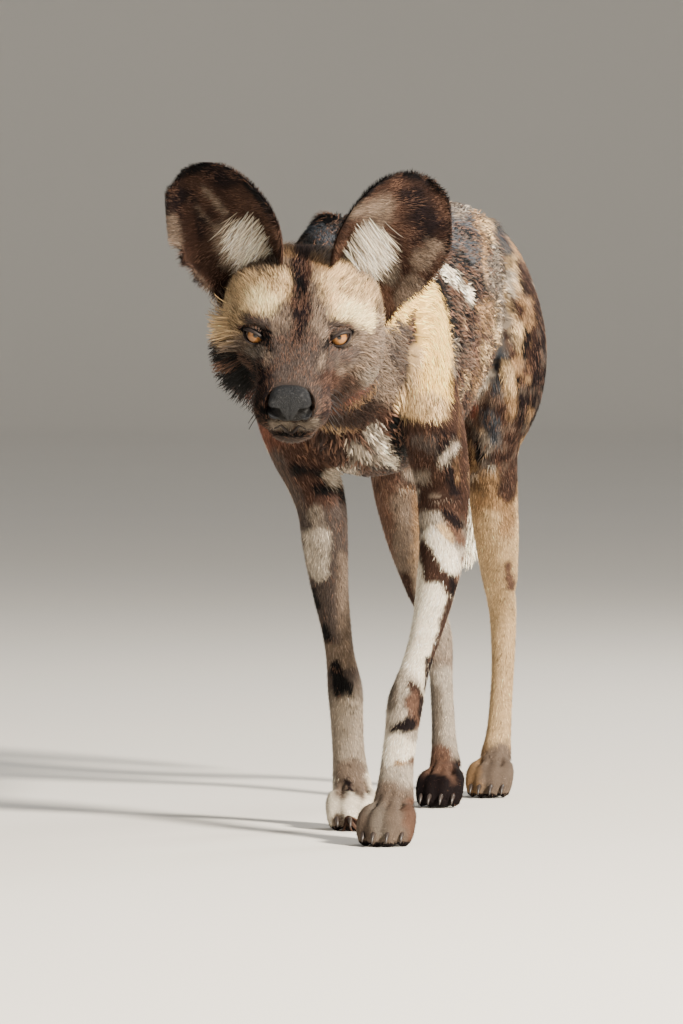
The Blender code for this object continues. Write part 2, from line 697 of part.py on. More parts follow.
def almond(sign):
    """The prism that opens the lids of one eye."""
    middle, look, outer, across = eye_frame(sign)
    outline = []
    for k in range(9):
        share = -1 + k / 4
        outline.append((share * LID_HALF_WIDTH, LID_UPPER * (1 - share**2) ** 0.8))
    for k in range(1, 8):
        share = 1 - k / 4
        outline.append((share * LID_HALF_WIDTH, -LID_LOWER * (1 - share**2) ** 0.9))
    count = len(outline)
    points = []
    for reach in (0.002, 0.030):
        spread = 1.0 if reach > 0.01 else 0.86
        points += [middle + look * reach + outer * (a * spread) + across * (b * spread) for a, b in outline]
    faces = [tuple(range(count)), tuple(range(2 * count - 1, count - 1, -1))]
    faces += [(k, (k + 1) % count + count, k + count) for k in range(count)]
    faces += [(k, (k + 1) % count, (k + 1) % count + count) for k in range(count)]
    clay = Clay()
    clay.add(points, faces)
    return clay


def ball(centre, radius, cuts=3):
    clay = Clay()
    clay.blob(centre, WORLD_AXES, (radius, radius, radius), cuts)
    return clay


def surface_of(obj):
    mesh = bmesh.new()
    mesh.from_mesh(obj.data)
    tree = BVHTree.FromBMesh(mesh)
    mesh.free()
    return tree


def mouth_groove(surface):
    """A thin tube laid along the line of the mouth."""
    half = [Vector(p) for p in MOUTH_LINE]
    whole = [Vector((p.x, -p.y, p.z)) for p in reversed(half[1:])] + half
    path = []
    for p in whole:
        spot, normal, index, away = surface.find_nearest(on_head(*p))
        path.append(spot + normal * 0.0002)
    sizes = [[MOUTH_RADIUS * k] * 3 for k in [0.55, 0.85] + [1.0] * (len(path) - 4) + [0.85, 0.55]]
    clay = Clay()
    clay.tube(path, sizes, HEAD_UP, steps=2, sides=6)
    return clay


def nostril(sign):
    clay = Clay()
    path = [on_head(*p) for p in ((0.1010, 0.0060 * sign, -0.0335), (0.1030, 0.0100 * sign, -0.0310),
                                  (0.0990, 0.0150 * sign, -0.0315), (0.0900, 0.0205 * sign, -0.0350))]
    sizes = [[r] * 3 for r in (0.0030, 0.0042, 0.0032, 0.0014)]
    clay.tube(path, sizes, HEAD_UP, steps=3, sides=10)
    return clay


def claw(place, offset, length):
    """A short curved claw at the end of one toe."""
    side, tip = offset * place[2], length * place[2] + 0.016
    path = (paw_point(place, side, tip - 0.007, 0.0140), paw_point(place, side, tip + 0.003, 0.0120),
            paw_point(place, side, tip + 0.0085, 0.0050))
    clay = Clay()
    clay.tube(path, [[r] * 3 for r in (0.0034, 0.0030, 0.0008)], (0, 0, 1), steps=2, sides=6)
    return clay


def lock(surface, root, lie, length, width, thick, stand):
    """A flat tapered lock that leaves the surface at root and bends along the way lie."""
    steps = 4
    lie = Vector(lie).normalized()
    spot, normal, index, away = surface.find_nearest(Vector(root))
    path, normals = [], []
    here = spot.copy()
    for k in range(steps + 1):
        share = k / steps
        lift = -0.0050 + (stand + 0.0050) * share**0.75
        path.append(here + normal * lift)
        normals.append(normal.copy())
        ahead = here + (lie - normal * lie.dot(normal)).normalized() * (length / steps)
        here, normal, index, away = surface.find_nearest(ahead)
    points, faces = [], []
    for k in range(steps):
        share = k / steps
        way = (path[k + 1] - path[max(k - 1, 0)]).normalized()
        side = normals[k].cross(way).normalized()
        out = way.cross(side).normalized()
        half = 0.5 * width * (1 - share) ** 0.7 * (0.9 + 0.9 * share)
        deep = 0.5 * thick * (1 - 0.6 * share)
        points += [path[k] - side * half, path[k] + out * deep, path[k] + side * half, path[k] - out * deep]
    points.append(path[-1])
    for k in range(steps - 1):
        for i in range(4):
            a, b = 4 * k + i, 4 * k + (i + 1) % 4
            faces.append((a, b, b + 4))
            faces.append((a, b + 4, a + 4))
    last = 4 * (steps - 1)
    for i in range(4):
        faces.append((last + i, last + (i + 1) % 4, len(points) - 1))
    faces += [(0, 2, 1), (0, 3, 2)]
    clay = Clay()
    clay.add(points, faces)
    return clay


def clear_of(clay, nodes):
    """True where no point of the solid comes within a margin of the other nodes."""
    for surface in nodes:
        for p in clay.points:
            spot, normal, index, away = surface.find_nearest(Vector(p))
            if away < 0.0010 or (Vector(p) - spot).dot(normal) < 0:
                return False
    return True


def clear_lock(surface, others, root, lie, length, width, thick, stand):
    """A lock that stands off a little more each time until it is clear of the other nodes, or nothing."""
    for extra in LOCK_LIFTS:
        made = lock(surface, root, lie, length, width * (1 - 12 * extra), thick, stand + extra)
        if clear_of(made, others):
            return [made]
    return []


def material(obj, color, roughness):
    made = bpy.data.materials.new(obj.name + "_look")
    made.use_nodes = True
    shader = made.node_tree.nodes["Principled BSDF"]
    shader.inputs["Base Color"].default_value = (*color, 1.0)
    shader.inputs["Roughness"].default_value = roughness
    shader.inputs["Metallic"].default_value = 0.0
    obj.data.materials.clear()
    obj.data.materials.append(made)


def build_pieces():
    """Parts the whole dog with thin cuts and returns its pieces by name."""
    whole = whole_body()
    surface = surface_of(whole)
    pieces = {}

    def cut(name, region):
        pieces[name] = take(whole, region, name)

    for side in ("left", "right"):
        fore, hind = FORELEG_PATHS[side], HINDLEG_PATHS[side]
        cut("forepaw_" + side, paw_region(PAWS["forepaw_" + side], 0.052))
        cut("hindpaw_" + side, paw_region(PAWS["hindpaw_" + side], 0.050))
        cut("forearm_" + side, leg_region(fore, FORELEG_SECTIONS, 5, 15, 0.010))
        cut("shank_" + side, leg_region(hind, HINDLEG_SECTIONS, 5, 13, 0.009))
        cut("upper_arm_" + side, leg_region(fore, FORELEG_SECTIONS, 0, 6, 0.005))
        cut("thigh_" + side, leg_region(hind, HINDLEG_SECTIONS, 1, 6, 0.005))
    cut("tail_brush", tail_region(3, 7, 0.012))
    cut("tail_base", tail_region(1, 4, 0.009))
    head_axes = (HEAD_FORWARD, HEAD_LEFT, HEAD_UP)
    cut("nose", nose_region)
    cut("head", block_region(EYE_MIDDLE, head_axes, (-0.100, -0.2, -0.14), (0.2, 0.2, 0.2)))
    cut("neck", block_region((0, -0.135, 0.33), WORLD_AXES, (-0.2, -0.3, 0.0), (0.2, 0.0, 0.5)))
    cut("hindquarters", block_region((0, 0.225, 0.33), WORLD_AXES, (-0.2, 0.0, 0.0), (0.2, 0.6, 0.5)))
    whole.name = "chest"
    pieces["chest"] = whole
    return pieces, surface


def finish_head(pieces):
    """Lids, sockets, the line of the mouth and the nostrils, then the eyes."""
    head = pieces["head"]
    lids = []
    for sign in (-1, 1):
        lids.append(ball(eye_frame(sign)[0], LID_RADIUS))
    combine(head, "UNION", lids)
    cuts = [almond(-1), almond(1)]
    cuts += [ball(eye_frame(sign)[0], EYE_RADIUS + GAP) for sign in (-1, 1)]
    for cutter in cuts:
        combine(head, "DIFFERENCE", [cutter])
    combine(head, "DIFFERENCE", [mouth_groove(surface_of(head))])
    for sign in (-1, 1):
        combine(pieces["nose"], "DIFFERENCE", [nostril(sign)])
    for sign, name in ((1, "eye_left"), (-1, "eye_right")):
        pieces[name] = ball(eye_frame(sign)[0], EYE_RADIUS - 0.0001, 2).as_object(name)


def add_ears(pieces):
    for name in EARS:
        made = ear(name)
        for other in ("head", "neck"):
            margin = grown(pieces[other], GAP)
            combine(made, "DIFFERENCE", [margin])
            bpy.data.objects.remove(margin)
        pieces[name] = made


def add_claws(pieces):
    for name, place in PAWS.items():
        claws = [claw(place, offset, length) for offset, length in zip(TOE_OFFSETS, TOE_LENGTHS)]
        combine(pieces[name], "UNION", claws)


def head_locks(surface, others):
    """Locks of the ruff that grow from the cheeks and from under the jaw."""
    found = []
    length, width, thick, stand = LOCK_SIZE
    for sign in (-1, 1):
        for forward, left, up in CHEEK_LOCKS:
            lie = HEAD_LEFT * (0.5 * sign) - HEAD_FORWARD * 0.8 - HEAD_UP * (0.45 - 4 * up)
            root = on_head(forward, left * sign, up)
            scale = random.uniform(0.85, 1.1)
            found += clear_lock(surface, others, root, lie, length * 0.85 * scale, width, thick, stand * 1.1)
    for forward, left in THROAT_LOCKS:
        lie = -HEAD_FORWARD - HEAD_UP * 0.5 + HEAD_LEFT * (6 * left)
        root = on_head(forward, left, -0.09)
        found += clear_lock(surface, others, root, lie, length * 0.9, width, thick, stand)
    return found


def neck_locks(surface, others):
    """Locks that hang from the throat over the front of the chest."""
    found = []
    length, width, thick, stand = LOCK_SIZE
    for row, y in enumerate(NECK_LOCK_ROWS):
        for turn in NECK_LOCK_TURNS:
            angle = math.radians(turn + 12 * (row % 2))
            root = Vector((0.10 * math.sin(angle), y, 0.552 - 0.12 * math.cos(angle)))
            lie = Vector((0.5 * math.sin(angle), 0.75, -0.7))
            scale = random.uniform(0.85, 1.15)
            found += clear_lock(surface, others, root, lie, length * scale, width, thick, stand)
    return found


def tail_locks(surface, others):
    """The brush: locks in rings round the tail, each ring turned against the last."""
    found = []
    bone = curve_through([tuple(p) for p, _ in TAIL[3:]], 6)
    length, width, thick, stand = TAIL_LOCK_SIZE
    for ring, share in enumerate(TAIL_LOCK_SHARES):
        place = share * (len(bone) - 1)
        k = int(place)
        spot = Vector(bone[k]).lerp(Vector(bone[min(k + 1, len(bone) - 1)]), place - k)
        way = Vector(bone[min(k + 1, len(bone) - 1)] - bone[max(k - 1, 0)]).normalized()
        for n in range(TAIL_LOCKS_AROUND):
            angle = 2 * math.pi * (n + 0.5 * (ring % 2)) / TAIL_LOCKS_AROUND
            outward = Vector((math.cos(angle), math.sin(angle), 0))
            shorter = 1 - 0.35 * share
            root = spot + outward * 0.03
            found += clear_lock(surface, others, root, way, length * shorter, width, thick, stand)
    return found


def add_locks(pieces, surface):
    """Fuses each set of locks to the node that it grows from."""
    random.seed(7)
    sets = (("head", head_locks, ("neck", "chest", "ear_left", "ear_right")),
            ("neck", neck_locks, ("head", "chest", "upper_arm_left", "upper_arm_right")),
            ("tail_brush", tail_locks, ("tail_base", "hindquarters")))
    for name, make, others in sets:
        locks = make(surface, [surface_of(pieces[other]) for other in others])
        for made in locks:
            before = copy_of(pieces[name], name)
            combine(pieces[name], "UNION", [made])
            lost = len(pieces[name].data.vertices) < len(before.data.vertices) + 8
            if lost:
                pieces[name].data = before.data
            bpy.data.objects.remove(before)


def main():
    for obj in list(bpy.data.objects):
        bpy.data.objects.remove(obj)
    pieces, surface = build_pieces()
    finish_head(pieces)
    add_ears(pieces)
    add_claws(pieces)
    add_locks(pieces, surface)
    for name, piece in pieces.items():
        material(piece, *COLOURS[name])
        piece.data.transform(Matrix.Translation(-ORIGIN))


main()
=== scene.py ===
"""The life-size African wild dog, dressed for a museum: skin, coat, eyes, nose, claws and studio.

Metres, +Z up. The measurements are taken from the withers and moved by ORIGIN, as in the solids.
"""

import functools
import itertools
import math

import bmesh
import bpy
import numpy as np
from mathutils import Matrix, Vector
from mathutils.bvhtree import BVHTree


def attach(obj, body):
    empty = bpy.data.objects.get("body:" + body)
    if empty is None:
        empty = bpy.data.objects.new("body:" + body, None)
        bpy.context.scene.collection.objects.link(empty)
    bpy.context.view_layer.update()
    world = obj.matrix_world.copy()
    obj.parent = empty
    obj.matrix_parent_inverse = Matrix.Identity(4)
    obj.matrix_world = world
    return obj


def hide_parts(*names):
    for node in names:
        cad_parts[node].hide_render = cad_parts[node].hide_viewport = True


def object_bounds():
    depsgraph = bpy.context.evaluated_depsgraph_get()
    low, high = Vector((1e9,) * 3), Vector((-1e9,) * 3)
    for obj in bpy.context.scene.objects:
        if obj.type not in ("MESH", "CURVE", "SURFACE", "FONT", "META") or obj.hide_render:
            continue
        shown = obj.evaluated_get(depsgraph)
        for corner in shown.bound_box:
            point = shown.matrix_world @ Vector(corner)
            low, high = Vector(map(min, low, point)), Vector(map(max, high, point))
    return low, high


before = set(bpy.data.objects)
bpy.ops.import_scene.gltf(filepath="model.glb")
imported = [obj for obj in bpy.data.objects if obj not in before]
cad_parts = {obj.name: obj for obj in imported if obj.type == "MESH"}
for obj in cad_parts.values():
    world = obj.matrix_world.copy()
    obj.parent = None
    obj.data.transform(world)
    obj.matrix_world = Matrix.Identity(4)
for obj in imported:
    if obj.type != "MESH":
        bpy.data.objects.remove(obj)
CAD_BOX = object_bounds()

bl_info = {
    "name": "Wild Dog Museum Model",
    "version": (1, 0, 0),
    "blender": (4, 5, 0),
    "location": "3D View > Sidebar > Wild Dog",
    "description": "Builds the skin, coat, eyes, nose, claws and studio of a life-size African wild dog",
    "category": "Object",
}

# Where the middle of the bounding box lies, measured from the withers
ORIGIN = np.array((0.0167, 0.1279, 0.0))

# The photograph's camera: turned from the dog's front, distance, height, focal length and principal place
CAMERA_TURN = math.radians(12.5)
CAMERA_DISTANCE = 8.12
CAMERA_HEIGHT = 0.60
CAMERA_ASIDE = 0.0219
FOCAL_PIXELS = 7600.0
PICTURE_MIDDLE = (341.5, 272.0)
CAMERA_DOWN = math.radians(1.808)
SENSOR = 36.0
PICTURE_HEIGHT = 1024.0

# Head: the point midway between the eyes, and how the head is held
EYE_MIDDLE = Vector((0.0155, -0.378, 0.533))
HEAD_YAW = math.radians(7.4)
HEAD_PITCH = math.radians(22.5)
HEAD_ROLL = math.radians(1.5)

# Torso sections from chest to rump: y, middle z, half width, height above, depth below
TORSO = (
    (-0.150, 0.530, 0.034, 0.055, 0.050),
    (-0.118, 0.538, 0.062, 0.090, 0.098),
    (-0.065, 0.540, 0.078, 0.113, 0.142),
    (0.000, 0.540, 0.084, 0.122, 0.158),
    (0.070, 0.540, 0.087, 0.124, 0.160),
    (0.150, 0.540, 0.091, 0.125, 0.152),
    (0.240, 0.542, 0.090, 0.128, 0.136),
    (0.330, 0.552, 0.082, 0.126, 0.118),
    (0.410, 0.566, 0.072, 0.116, 0.100),
    (0.490, 0.582, 0.066, 0.099, 0.098),
    (0.550, 0.592, 0.052, 0.072, 0.084),
    (0.592, 0.600, 0.036, 0.040, 0.050),
)

# Neck sections from inside the chest to inside the skull, in the same order
NECK = (
    (-0.010, 0.556, 0.076, 0.104, 0.130),
    (-0.080, 0.556, 0.074, 0.096, 0.128),
    (-0.140, 0.554, 0.068, 0.086, 0.116),
    (-0.190, 0.552, 0.063, 0.078, 0.098),
    (-0.240, 0.552, 0.061, 0.074, 0.084),
    (-0.300, 0.552, 0.056, 0.060, 0.070),
)

# Foreleg sections from shoulder blade to pastern: half width, depth in front, depth behind
FORELEG_SECTIONS = (
    (0.020, 0.036, 0.040),
    (0.029, 0.048, 0.052),
    (0.033, 0.052, 0.056),
    (0.034, 0.048, 0.056),
    (0.033, 0.042, 0.050),
    (0.030, 0.033, 0.039),
    (0.0272, 0.027, 0.031),
    (0.0258, 0.0245, 0.026),
    (0.0215, 0.0205, 0.021),
    (0.0178, 0.0172, 0.018),
    (0.0172, 0.0165, 0.018),
    (0.0205, 0.0180, 0.0215),
    (0.0195, 0.0155, 0.0190),
    (0.0190, 0.0150, 0.0165),
    (0.0205, 0.0165, 0.0180),
    (0.0235, 0.0200, 0.0210),
)
FORELEG_PATHS = {
    "left": (
        (0.034, 0.030, 0.652), (0.055, 0.002, 0.600), (0.070, -0.038, 0.530),
        (0.079, -0.044, 0.470), (0.084, -0.020, 0.422), (0.088, -0.003, 0.378),
        (0.0895, -0.006, 0.340), (0.090, -0.014, 0.302), (0.085, -0.030, 0.252),
        (0.078, -0.048, 0.210), (0.0715, -0.066, 0.178), (0.0652, -0.082, 0.147),
        (0.063, -0.092, 0.117), (0.0615, -0.104, 0.087), (0.062, -0.118, 0.062),
        (0.0632, -0.132, 0.042),
    ),
    "right": (
        (-0.036, 0.030, 0.652), (-0.056, 0.006, 0.600), (-0.069, -0.030, 0.530),
        (-0.075, -0.038, 0.470), (-0.069, -0.014, 0.422), (-0.054, 0.000, 0.380),
        (-0.0448, 0.004, 0.345), (-0.0425, 0.010, 0.308), (-0.041, 0.026, 0.262),
        (-0.0385, 0.044, 0.220), (-0.0372, 0.060, 0.185), (-0.0352, 0.074, 0.150),
        (-0.035, 0.082, 0.120), (-0.0343, 0.086, 0.090), (-0.0318, 0.084, 0.064),
        (-0.0275, 0.077, 0.042),
    ),
}

# Hind leg sections from hip to pastern, in the same order
HINDLEG_SECTIONS = (
    (0.012, 0.036, 0.040),
    (0.028, 0.060, 0.062),
    (0.039, 0.072, 0.072),
    (0.038, 0.066, 0.068),
    (0.0305, 0.050, 0.054),
    (0.0278, 0.038, 0.042),
    (0.0258, 0.030, 0.033),
    (0.0218, 0.0235, 0.026),
    (0.0180, 0.0190, 0.0215),
    (0.0165, 0.0185, 0.0200),
    (0.0148, 0.0150, 0.0165),
    (0.0146, 0.0140, 0.0150),
    (0.0160, 0.0150, 0.0160),
    (0.0200, 0.0180, 0.0190),
)
HINDLEG_PATHS = {
    "left": (
        (0.034, 0.480, 0.655), (0.053, 0.492, 0.600), (0.064, 0.490, 0.530),
        (0.063, 0.480, 0.465), (0.047, 0.474, 0.405), (0.044, 0.494, 0.350),
        (0.0405, 0.530, 0.300), (0.0355, 0.572, 0.256), (0.0312, 0.604, 0.226),
        (0.030, 0.620, 0.200), (0.0293, 0.624, 0.155), (0.027, 0.624, 0.110),
        (0.0252, 0.618, 0.070), (0.024, 0.608, 0.044),
    ),
    "right": (
        (-0.034, 0.470, 0.655), (-0.052, 0.470, 0.600), (-0.060, 0.450, 0.530),
        (-0.060, 0.425, 0.465), (-0.0535, 0.412, 0.405), (-0.0505, 0.426, 0.350),
        (-0.044, 0.448, 0.300), (-0.0352, 0.472, 0.252), (-0.0262, 0.488, 0.215),
        (-0.0185, 0.492, 0.184), (-0.014, 0.482, 0.145), (-0.009, 0.468, 0.105),
        (-0.004, 0.452, 0.068), (0.000, 0.440, 0.044),
    ),
}

# Paws: middle of the pastern at the floor, size, and how far the toes turn to the dog's left
PAWS = {
    "forepaw_left": (0.0632, -0.140, 1.0, 0.0),
    "forepaw_right": (-0.0262, 0.072, 1.0, math.radians(17.0)),
    "hindpaw_left": (0.0240, 0.600, 0.88, 0.0),
    "hindpaw_right": (0.0010, 0.432, 0.88, 0.0),
}
TOE_OFFSETS = (-0.0205, -0.0075, 0.0075, 0.0205)
TOE_LENGTHS = (0.030, 0.042, 0.042, 0.030)
TOE_RADIUS = 0.0112

# Inner thigh from the groin down: sideways, y, middle z, and half sizes
GROIN = {
    "left": ((0.030, 0.440, 0.520), (0.028, 0.455, 0.460), (0.027, 0.466, 0.405)),
    "right": ((-0.030, 0.405, 0.520), (-0.029, 0.405, 0.460), (-0.034, 0.408, 0.405)),
}
GROIN_SECTIONS = ((0.028, 0.045, 0.045), (0.023, 0.036, 0.036), (0.012, 0.020, 0.020))

# Tail from root to the end of the bone: point and radius
TAIL = (
    ((0.000, 0.560, 0.640), 0.026),
    ((0.000, 0.600, 0.618), 0.022),
    ((-0.003, 0.636, 0.575), 0.018),
    ((-0.009, 0.664, 0.510), 0.016),
    ((-0.016, 0.680, 0.440), 0.014),
    ((-0.022, 0.686, 0.370), 0.012),
    ((-0.026, 0.684, 0.305), 0.009),
    ((-0.027, 0.680, 0.268), 0.005),
)

# Head sections from the eye middle along the head: forward, middle height, half width, above, below
HEAD = (
    (-0.140, -0.004, 0.034, 0.034, 0.046),
    (-0.118, 0.000, 0.058, 0.052, 0.064),
    (-0.088, 0.002, 0.076, 0.060, 0.080),
    (-0.055, 0.000, 0.082, 0.056, 0.087),
    (-0.025, 0.000, 0.075, 0.043, 0.088),
    (0.000, -0.006, 0.061, 0.031, 0.080),
    (0.022, -0.014, 0.047, 0.023, 0.069),
    (0.048, -0.024, 0.0390, 0.020, 0.057),
    (0.074, -0.033, 0.0360, 0.020, 0.048),
    (0.088, -0.040, 0.0325, 0.020, 0.039),
    (0.097, -0.046, 0.0240, 0.015, 0.029),
)

# Blobs that round out the head, one on each side: forward, left, up, then the three radii
CHEEK = (-0.056, 0.044, -0.026, 0.050, 0.036, 0.050)
BROW = (-0.014, 0.036, 0.014, 0.028, 0.026, 0.016)
CHEEKBONE = (-0.018, 0.050, -0.020, 0.032, 0.014, 0.016)
WHISKER_PAD = (0.068, 0.0195, -0.046, 0.033, 0.0205, 0.023)
CHIN = (0.064, 0.0, -0.071, 0.028, 0.026, 0.014)
NOSE = (0.0905, 0.0, -0.0330, 0.0165, 0.0215, 0.0190)

# Eyes: place, radius, and the almond that the lids leave open
EYE_PLACE = (0.001, 0.0420, 0.0030)
EYE_RADIUS = 0.0118
LID_RADIUS = 0.0144
EYE_OUTWARD = math.radians(20.0)
EYE_UPWARD = math.radians(8.0)
LID_SLANT = math.radians(20.0)
LID_HALF_WIDTH = 0.0132
LID_UPPER = 0.0060
LID_LOWER = 0.0072

# Line of the mouth on the head's left half, from the front to the corner
MOUTH_LINE = (
    (0.096, 0.000, -0.063), (0.092, 0.014, -0.064), (0.082, 0.025, -0.066), (0.064, 0.033, -0.064),
    (0.044, 0.038, -0.060), (0.024, 0.044, -0.055), (0.010, 0.052, -0.051),
)

# Ears: side, middle of the base on the head, tilt outward; rows up the ear as share, half width, cup depth
EARS = {
    "ear_left": (1, (-0.084, 0.0603, 0.026), math.radians(26.0)),
    "ear_right": (-1, (-0.084, 0.0537, 0.030), math.radians(23.5)),
}
# How much wider the half towards the middle of the head is, halfway up the ear
EAR_INNER = {"ear_left": 0.0, "ear_right": 0.14}
EAR_LENGTH = 0.134
EAR_ROWS = (
    (-0.22, 0.036, 0.036), (0.0, 0.043, 0.034), (0.15, 0.051, 0.032), (0.30, 0.0565, 0.028),
    (0.45, 0.0580, 0.024), (0.60, 0.056, 0.019), (0.75, 0.0495, 0.013), (0.87, 0.0395, 0.008),
    (0.95, 0.027, 0.004), (1.0, 0.012, 0.002),
)
EAR_THICK = 0.0030
EAR_RIM_THICK = 0.0012
EAR_CELLS = (60, 64)
# Tears in the right ear's edge: share up the ear, place across it, reach along the edge, depth
EAR_NOTCHES = ((0.94, 1.0, 0.0022, 0.0045), (0.40, 1.0, 0.0050, 0.007), (0.24, 1.0, 0.0045, 0.005))

# The coat's depth over the skin, by part
BODY_DEPTH, LEG_DEPTH, HEAD_DEPTH, PAW_DEPTH = 0.0030, 0.0018, 0.0016, 0.0010

PARTS = (
    "torso", "neck", "head", "fore_left", "fore_right", "hind_left", "hind_right", "tail",
    "ear_left", "ear_right",
)
FLESH = (
    "head", "neck", "chest", "hindquarters", "tail_base", "tail_brush", "ear_left", "ear_right",
    "upper_arm_left", "upper_arm_right", "forearm_left", "forearm_right", "forepaw_left", "forepaw_right",
    "thigh_left", "thigh_right", "shank_left", "shank_right", "hindpaw_left", "hindpaw_right",
)

# Markings, each a tapered stroke: colour, start x, y, radius, end x, y, radius in photo pixels, softness
TRUNK_MARKS = (
    ("slate", 455, 215, 22, 465, 250, 20, 5),
    ("grey_white", 466, 207, 5, 474, 212, 4, 3),
    ("umber", 474, 200, 4, 486, 212, 4, 3),
    ("ash", 452, 205, 6, 458, 214, 6, 4),
    ("black", 463, 232, 5, 470, 236, 4, 3),
    ("tan", 473, 214, 3, 483, 240, 4, 3),
    ("tan", 483, 240, 4, 486, 282, 4, 3),
    ("grey_white", 488, 228, 5, 497, 246, 5, 4),
    ("cream", 484, 222, 4, 492, 238, 4, 3),
    ("slate", 496, 232, 4, 506, 252, 4, 3),
    ("ash", 496, 262, 10, 494, 296, 10, 6),
    ("cream", 511, 262, 6, 516, 286, 6, 4),
    ("grey_white", 508, 276, 5, 512, 296, 5, 4),
    ("black", 519, 262, 3, 527, 292, 5, 3),
    ("cream", 503, 306, 10, 500, 330, 8, 7),
    ("tan", 520, 302, 6, 526, 318, 6, 4),
    ("cream", 519, 326, 5, 517, 340, 5, 3),
    ("grey_white", 502, 318, 5, 506, 340, 5, 5),
    ("umber", 534, 318, 4, 537, 372, 6, 3),
    ("umber", 530, 348, 3, 527, 372, 4, 3),
    ("slate", 505, 340, 6, 501, 372, 8, 5),
    ("black", 498, 362, 4, 503, 374, 5, 3),
    ("brown", 476, 324, 12, 468, 360, 12, 6),
    ("tan", 486, 300, 6, 482, 330, 5, 4),
    ("black_brown", 472, 326, 3, 471, 340, 3, 3),
    ("cream", 485, 346, 4, 478, 380, 4, 4),
    ("black_brown", 463, 346, 4, 466, 364, 4, 3),
    ("black_brown", 476, 368, 4, 470, 384, 4, 3),
    ("black_brown", 462, 372, 3, 459, 384, 3, 3),
    ("tan", 480, 372, 5, 470, 398, 5, 4),
    ("grey_white", 489, 376, 4, 478, 402, 4, 4),
    ("brown", 490, 396, 7, 482, 420, 8, 5),
    ("red_brown", 475, 404, 3, 472, 418, 3, 2),
    ("cream", 507, 366, 5, 512, 398, 5, 4),
    ("slate", 495, 384, 5, 500, 420, 8, 5),
    ("black", 520, 378, 4, 522, 400, 4, 2),
    ("black_brown", 528, 386, 5, 520, 430, 7, 4),
    ("tan", 510, 402, 5, 504, 428, 5, 4),
    ("umber", 492, 408, 13, 502, 456, 13, 5),
    ("slate", 489, 414, 7, 498, 440, 8, 5),
    ("ash", 484, 432, 3, 489, 452, 3, 3),
    ("black_brown", 516, 440, 5, 512, 486, 5, 3),
    ("umber", 522, 264, 4, 540, 328, 5, 3),
    ("black_brown", 541, 332, 4, 535, 404, 5, 3),
    ("tan", 528, 300, 3, 531, 320, 3, 3),
    ("black_brown", 537, 300, 4, 544, 336, 5, 3),
    ("umber", 513, 298, 3, 522, 316, 3, 3),
    ("umber", 505, 332, 3, 513, 354, 3, 3),
    ("ash", 500, 300, 5, 506, 324, 5, 4),
    ("umber", 464, 396, 6, 464, 500, 6, 4),
    # The great pale patch of the neck and shoulder
    ("ash_tan", 391, 322, 16, 392, 384, 19, 8),
    ("yellow_cream", 425, 296, 16, 434, 330, 16, 4),
    ("yellow_cream", 434, 330, 17, 430, 396, 19, 4),
    ("yellow_cream", 400, 300, 14, 392, 318, 10, 5),
    ("cream", 410, 404, 14, 432, 408, 16, 5),
    ("grey_brown", 394, 326, 5, 410, 338, 6, 5),
    ("grey_brown", 390, 350, 8, 402, 372, 9, 7),
    ("cream", 416, 352, 6, 414, 384, 6, 5),
    # The white streak behind the ear, in black
    ("black", 440, 262, 7, 458, 308, 9, 3),
    ("black", 456, 258, 8, 476, 290, 9, 3),
    ("black", 466, 300, 8, 470, 312, 6, 3),
    ("brown", 452, 292, 4, 458, 302, 4, 3),
    ("white", 440, 264, 4, 450, 277, 5, 1.6),
    ("white", 450, 277, 5, 468, 292, 4, 1.6),
    ("white", 468, 290, 4, 470, 303, 3.4, 1.6),
    ("black", 436, 276, 4, 450, 306, 4, 1.5),
    ("black", 450, 306, 4, 454, 342, 3, 1.5),
    ("ash", 455, 342, 2.2, 454, 372, 2.5, 2),
    # Shoulder and the front of the chest
    ("umber", 292, 460, 18, 360, 470, 15, 6),
    ("black_brown", 436, 444, 20, 430, 470, 22, 8),
    ("umber", 412, 462, 20, 432, 494, 20, 6),
    ("grey_brown", 420, 438, 8, 430, 444, 8, 5),
    ("black", 398, 426, 8, 400, 452, 7, 3),
    ("umber", 412, 426, 4, 446, 427, 4, 6),
    ("grey_white", 374, 432, 9, 388, 462, 8, 4),
    ("white", 383, 448, 5, 392, 464, 4, 3),
    ("grey_white", 356, 450, 6, 368, 462, 7, 5),
    ("grey_white", 443, 460, 4, 454, 444, 4, 3),
    ("ash", 404, 474, 5, 424, 478, 6, 4),
    ("grey_white", 404, 492, 5, 416, 496, 5, 3),
    ("umber", 436, 486, 8, 424, 500, 6, 4),
    ("ash_tan", 434, 498, 4, 452, 502, 4, 3),
    ("black_brown", 450, 470, 4, 456, 500, 4, 3),
    ("black", 380, 484, 5, 398, 500, 5, 2),
    ("black", 398, 500, 5, 418, 522, 5, 2),
    ("umber", 350, 470, 10, 392, 480, 12, 6),
    ("black", 296, 470, 7, 322, 478, 8, 4),
    ("grey_white", 332, 478, 9, 350, 474, 8, 4),
    # Grey brown of the right shoulder's edge: partly its own colour, partly painted shade of the head's
    # shadow
    ("grey_brown", 272, 462, 10, 292, 500, 10, 6),
)
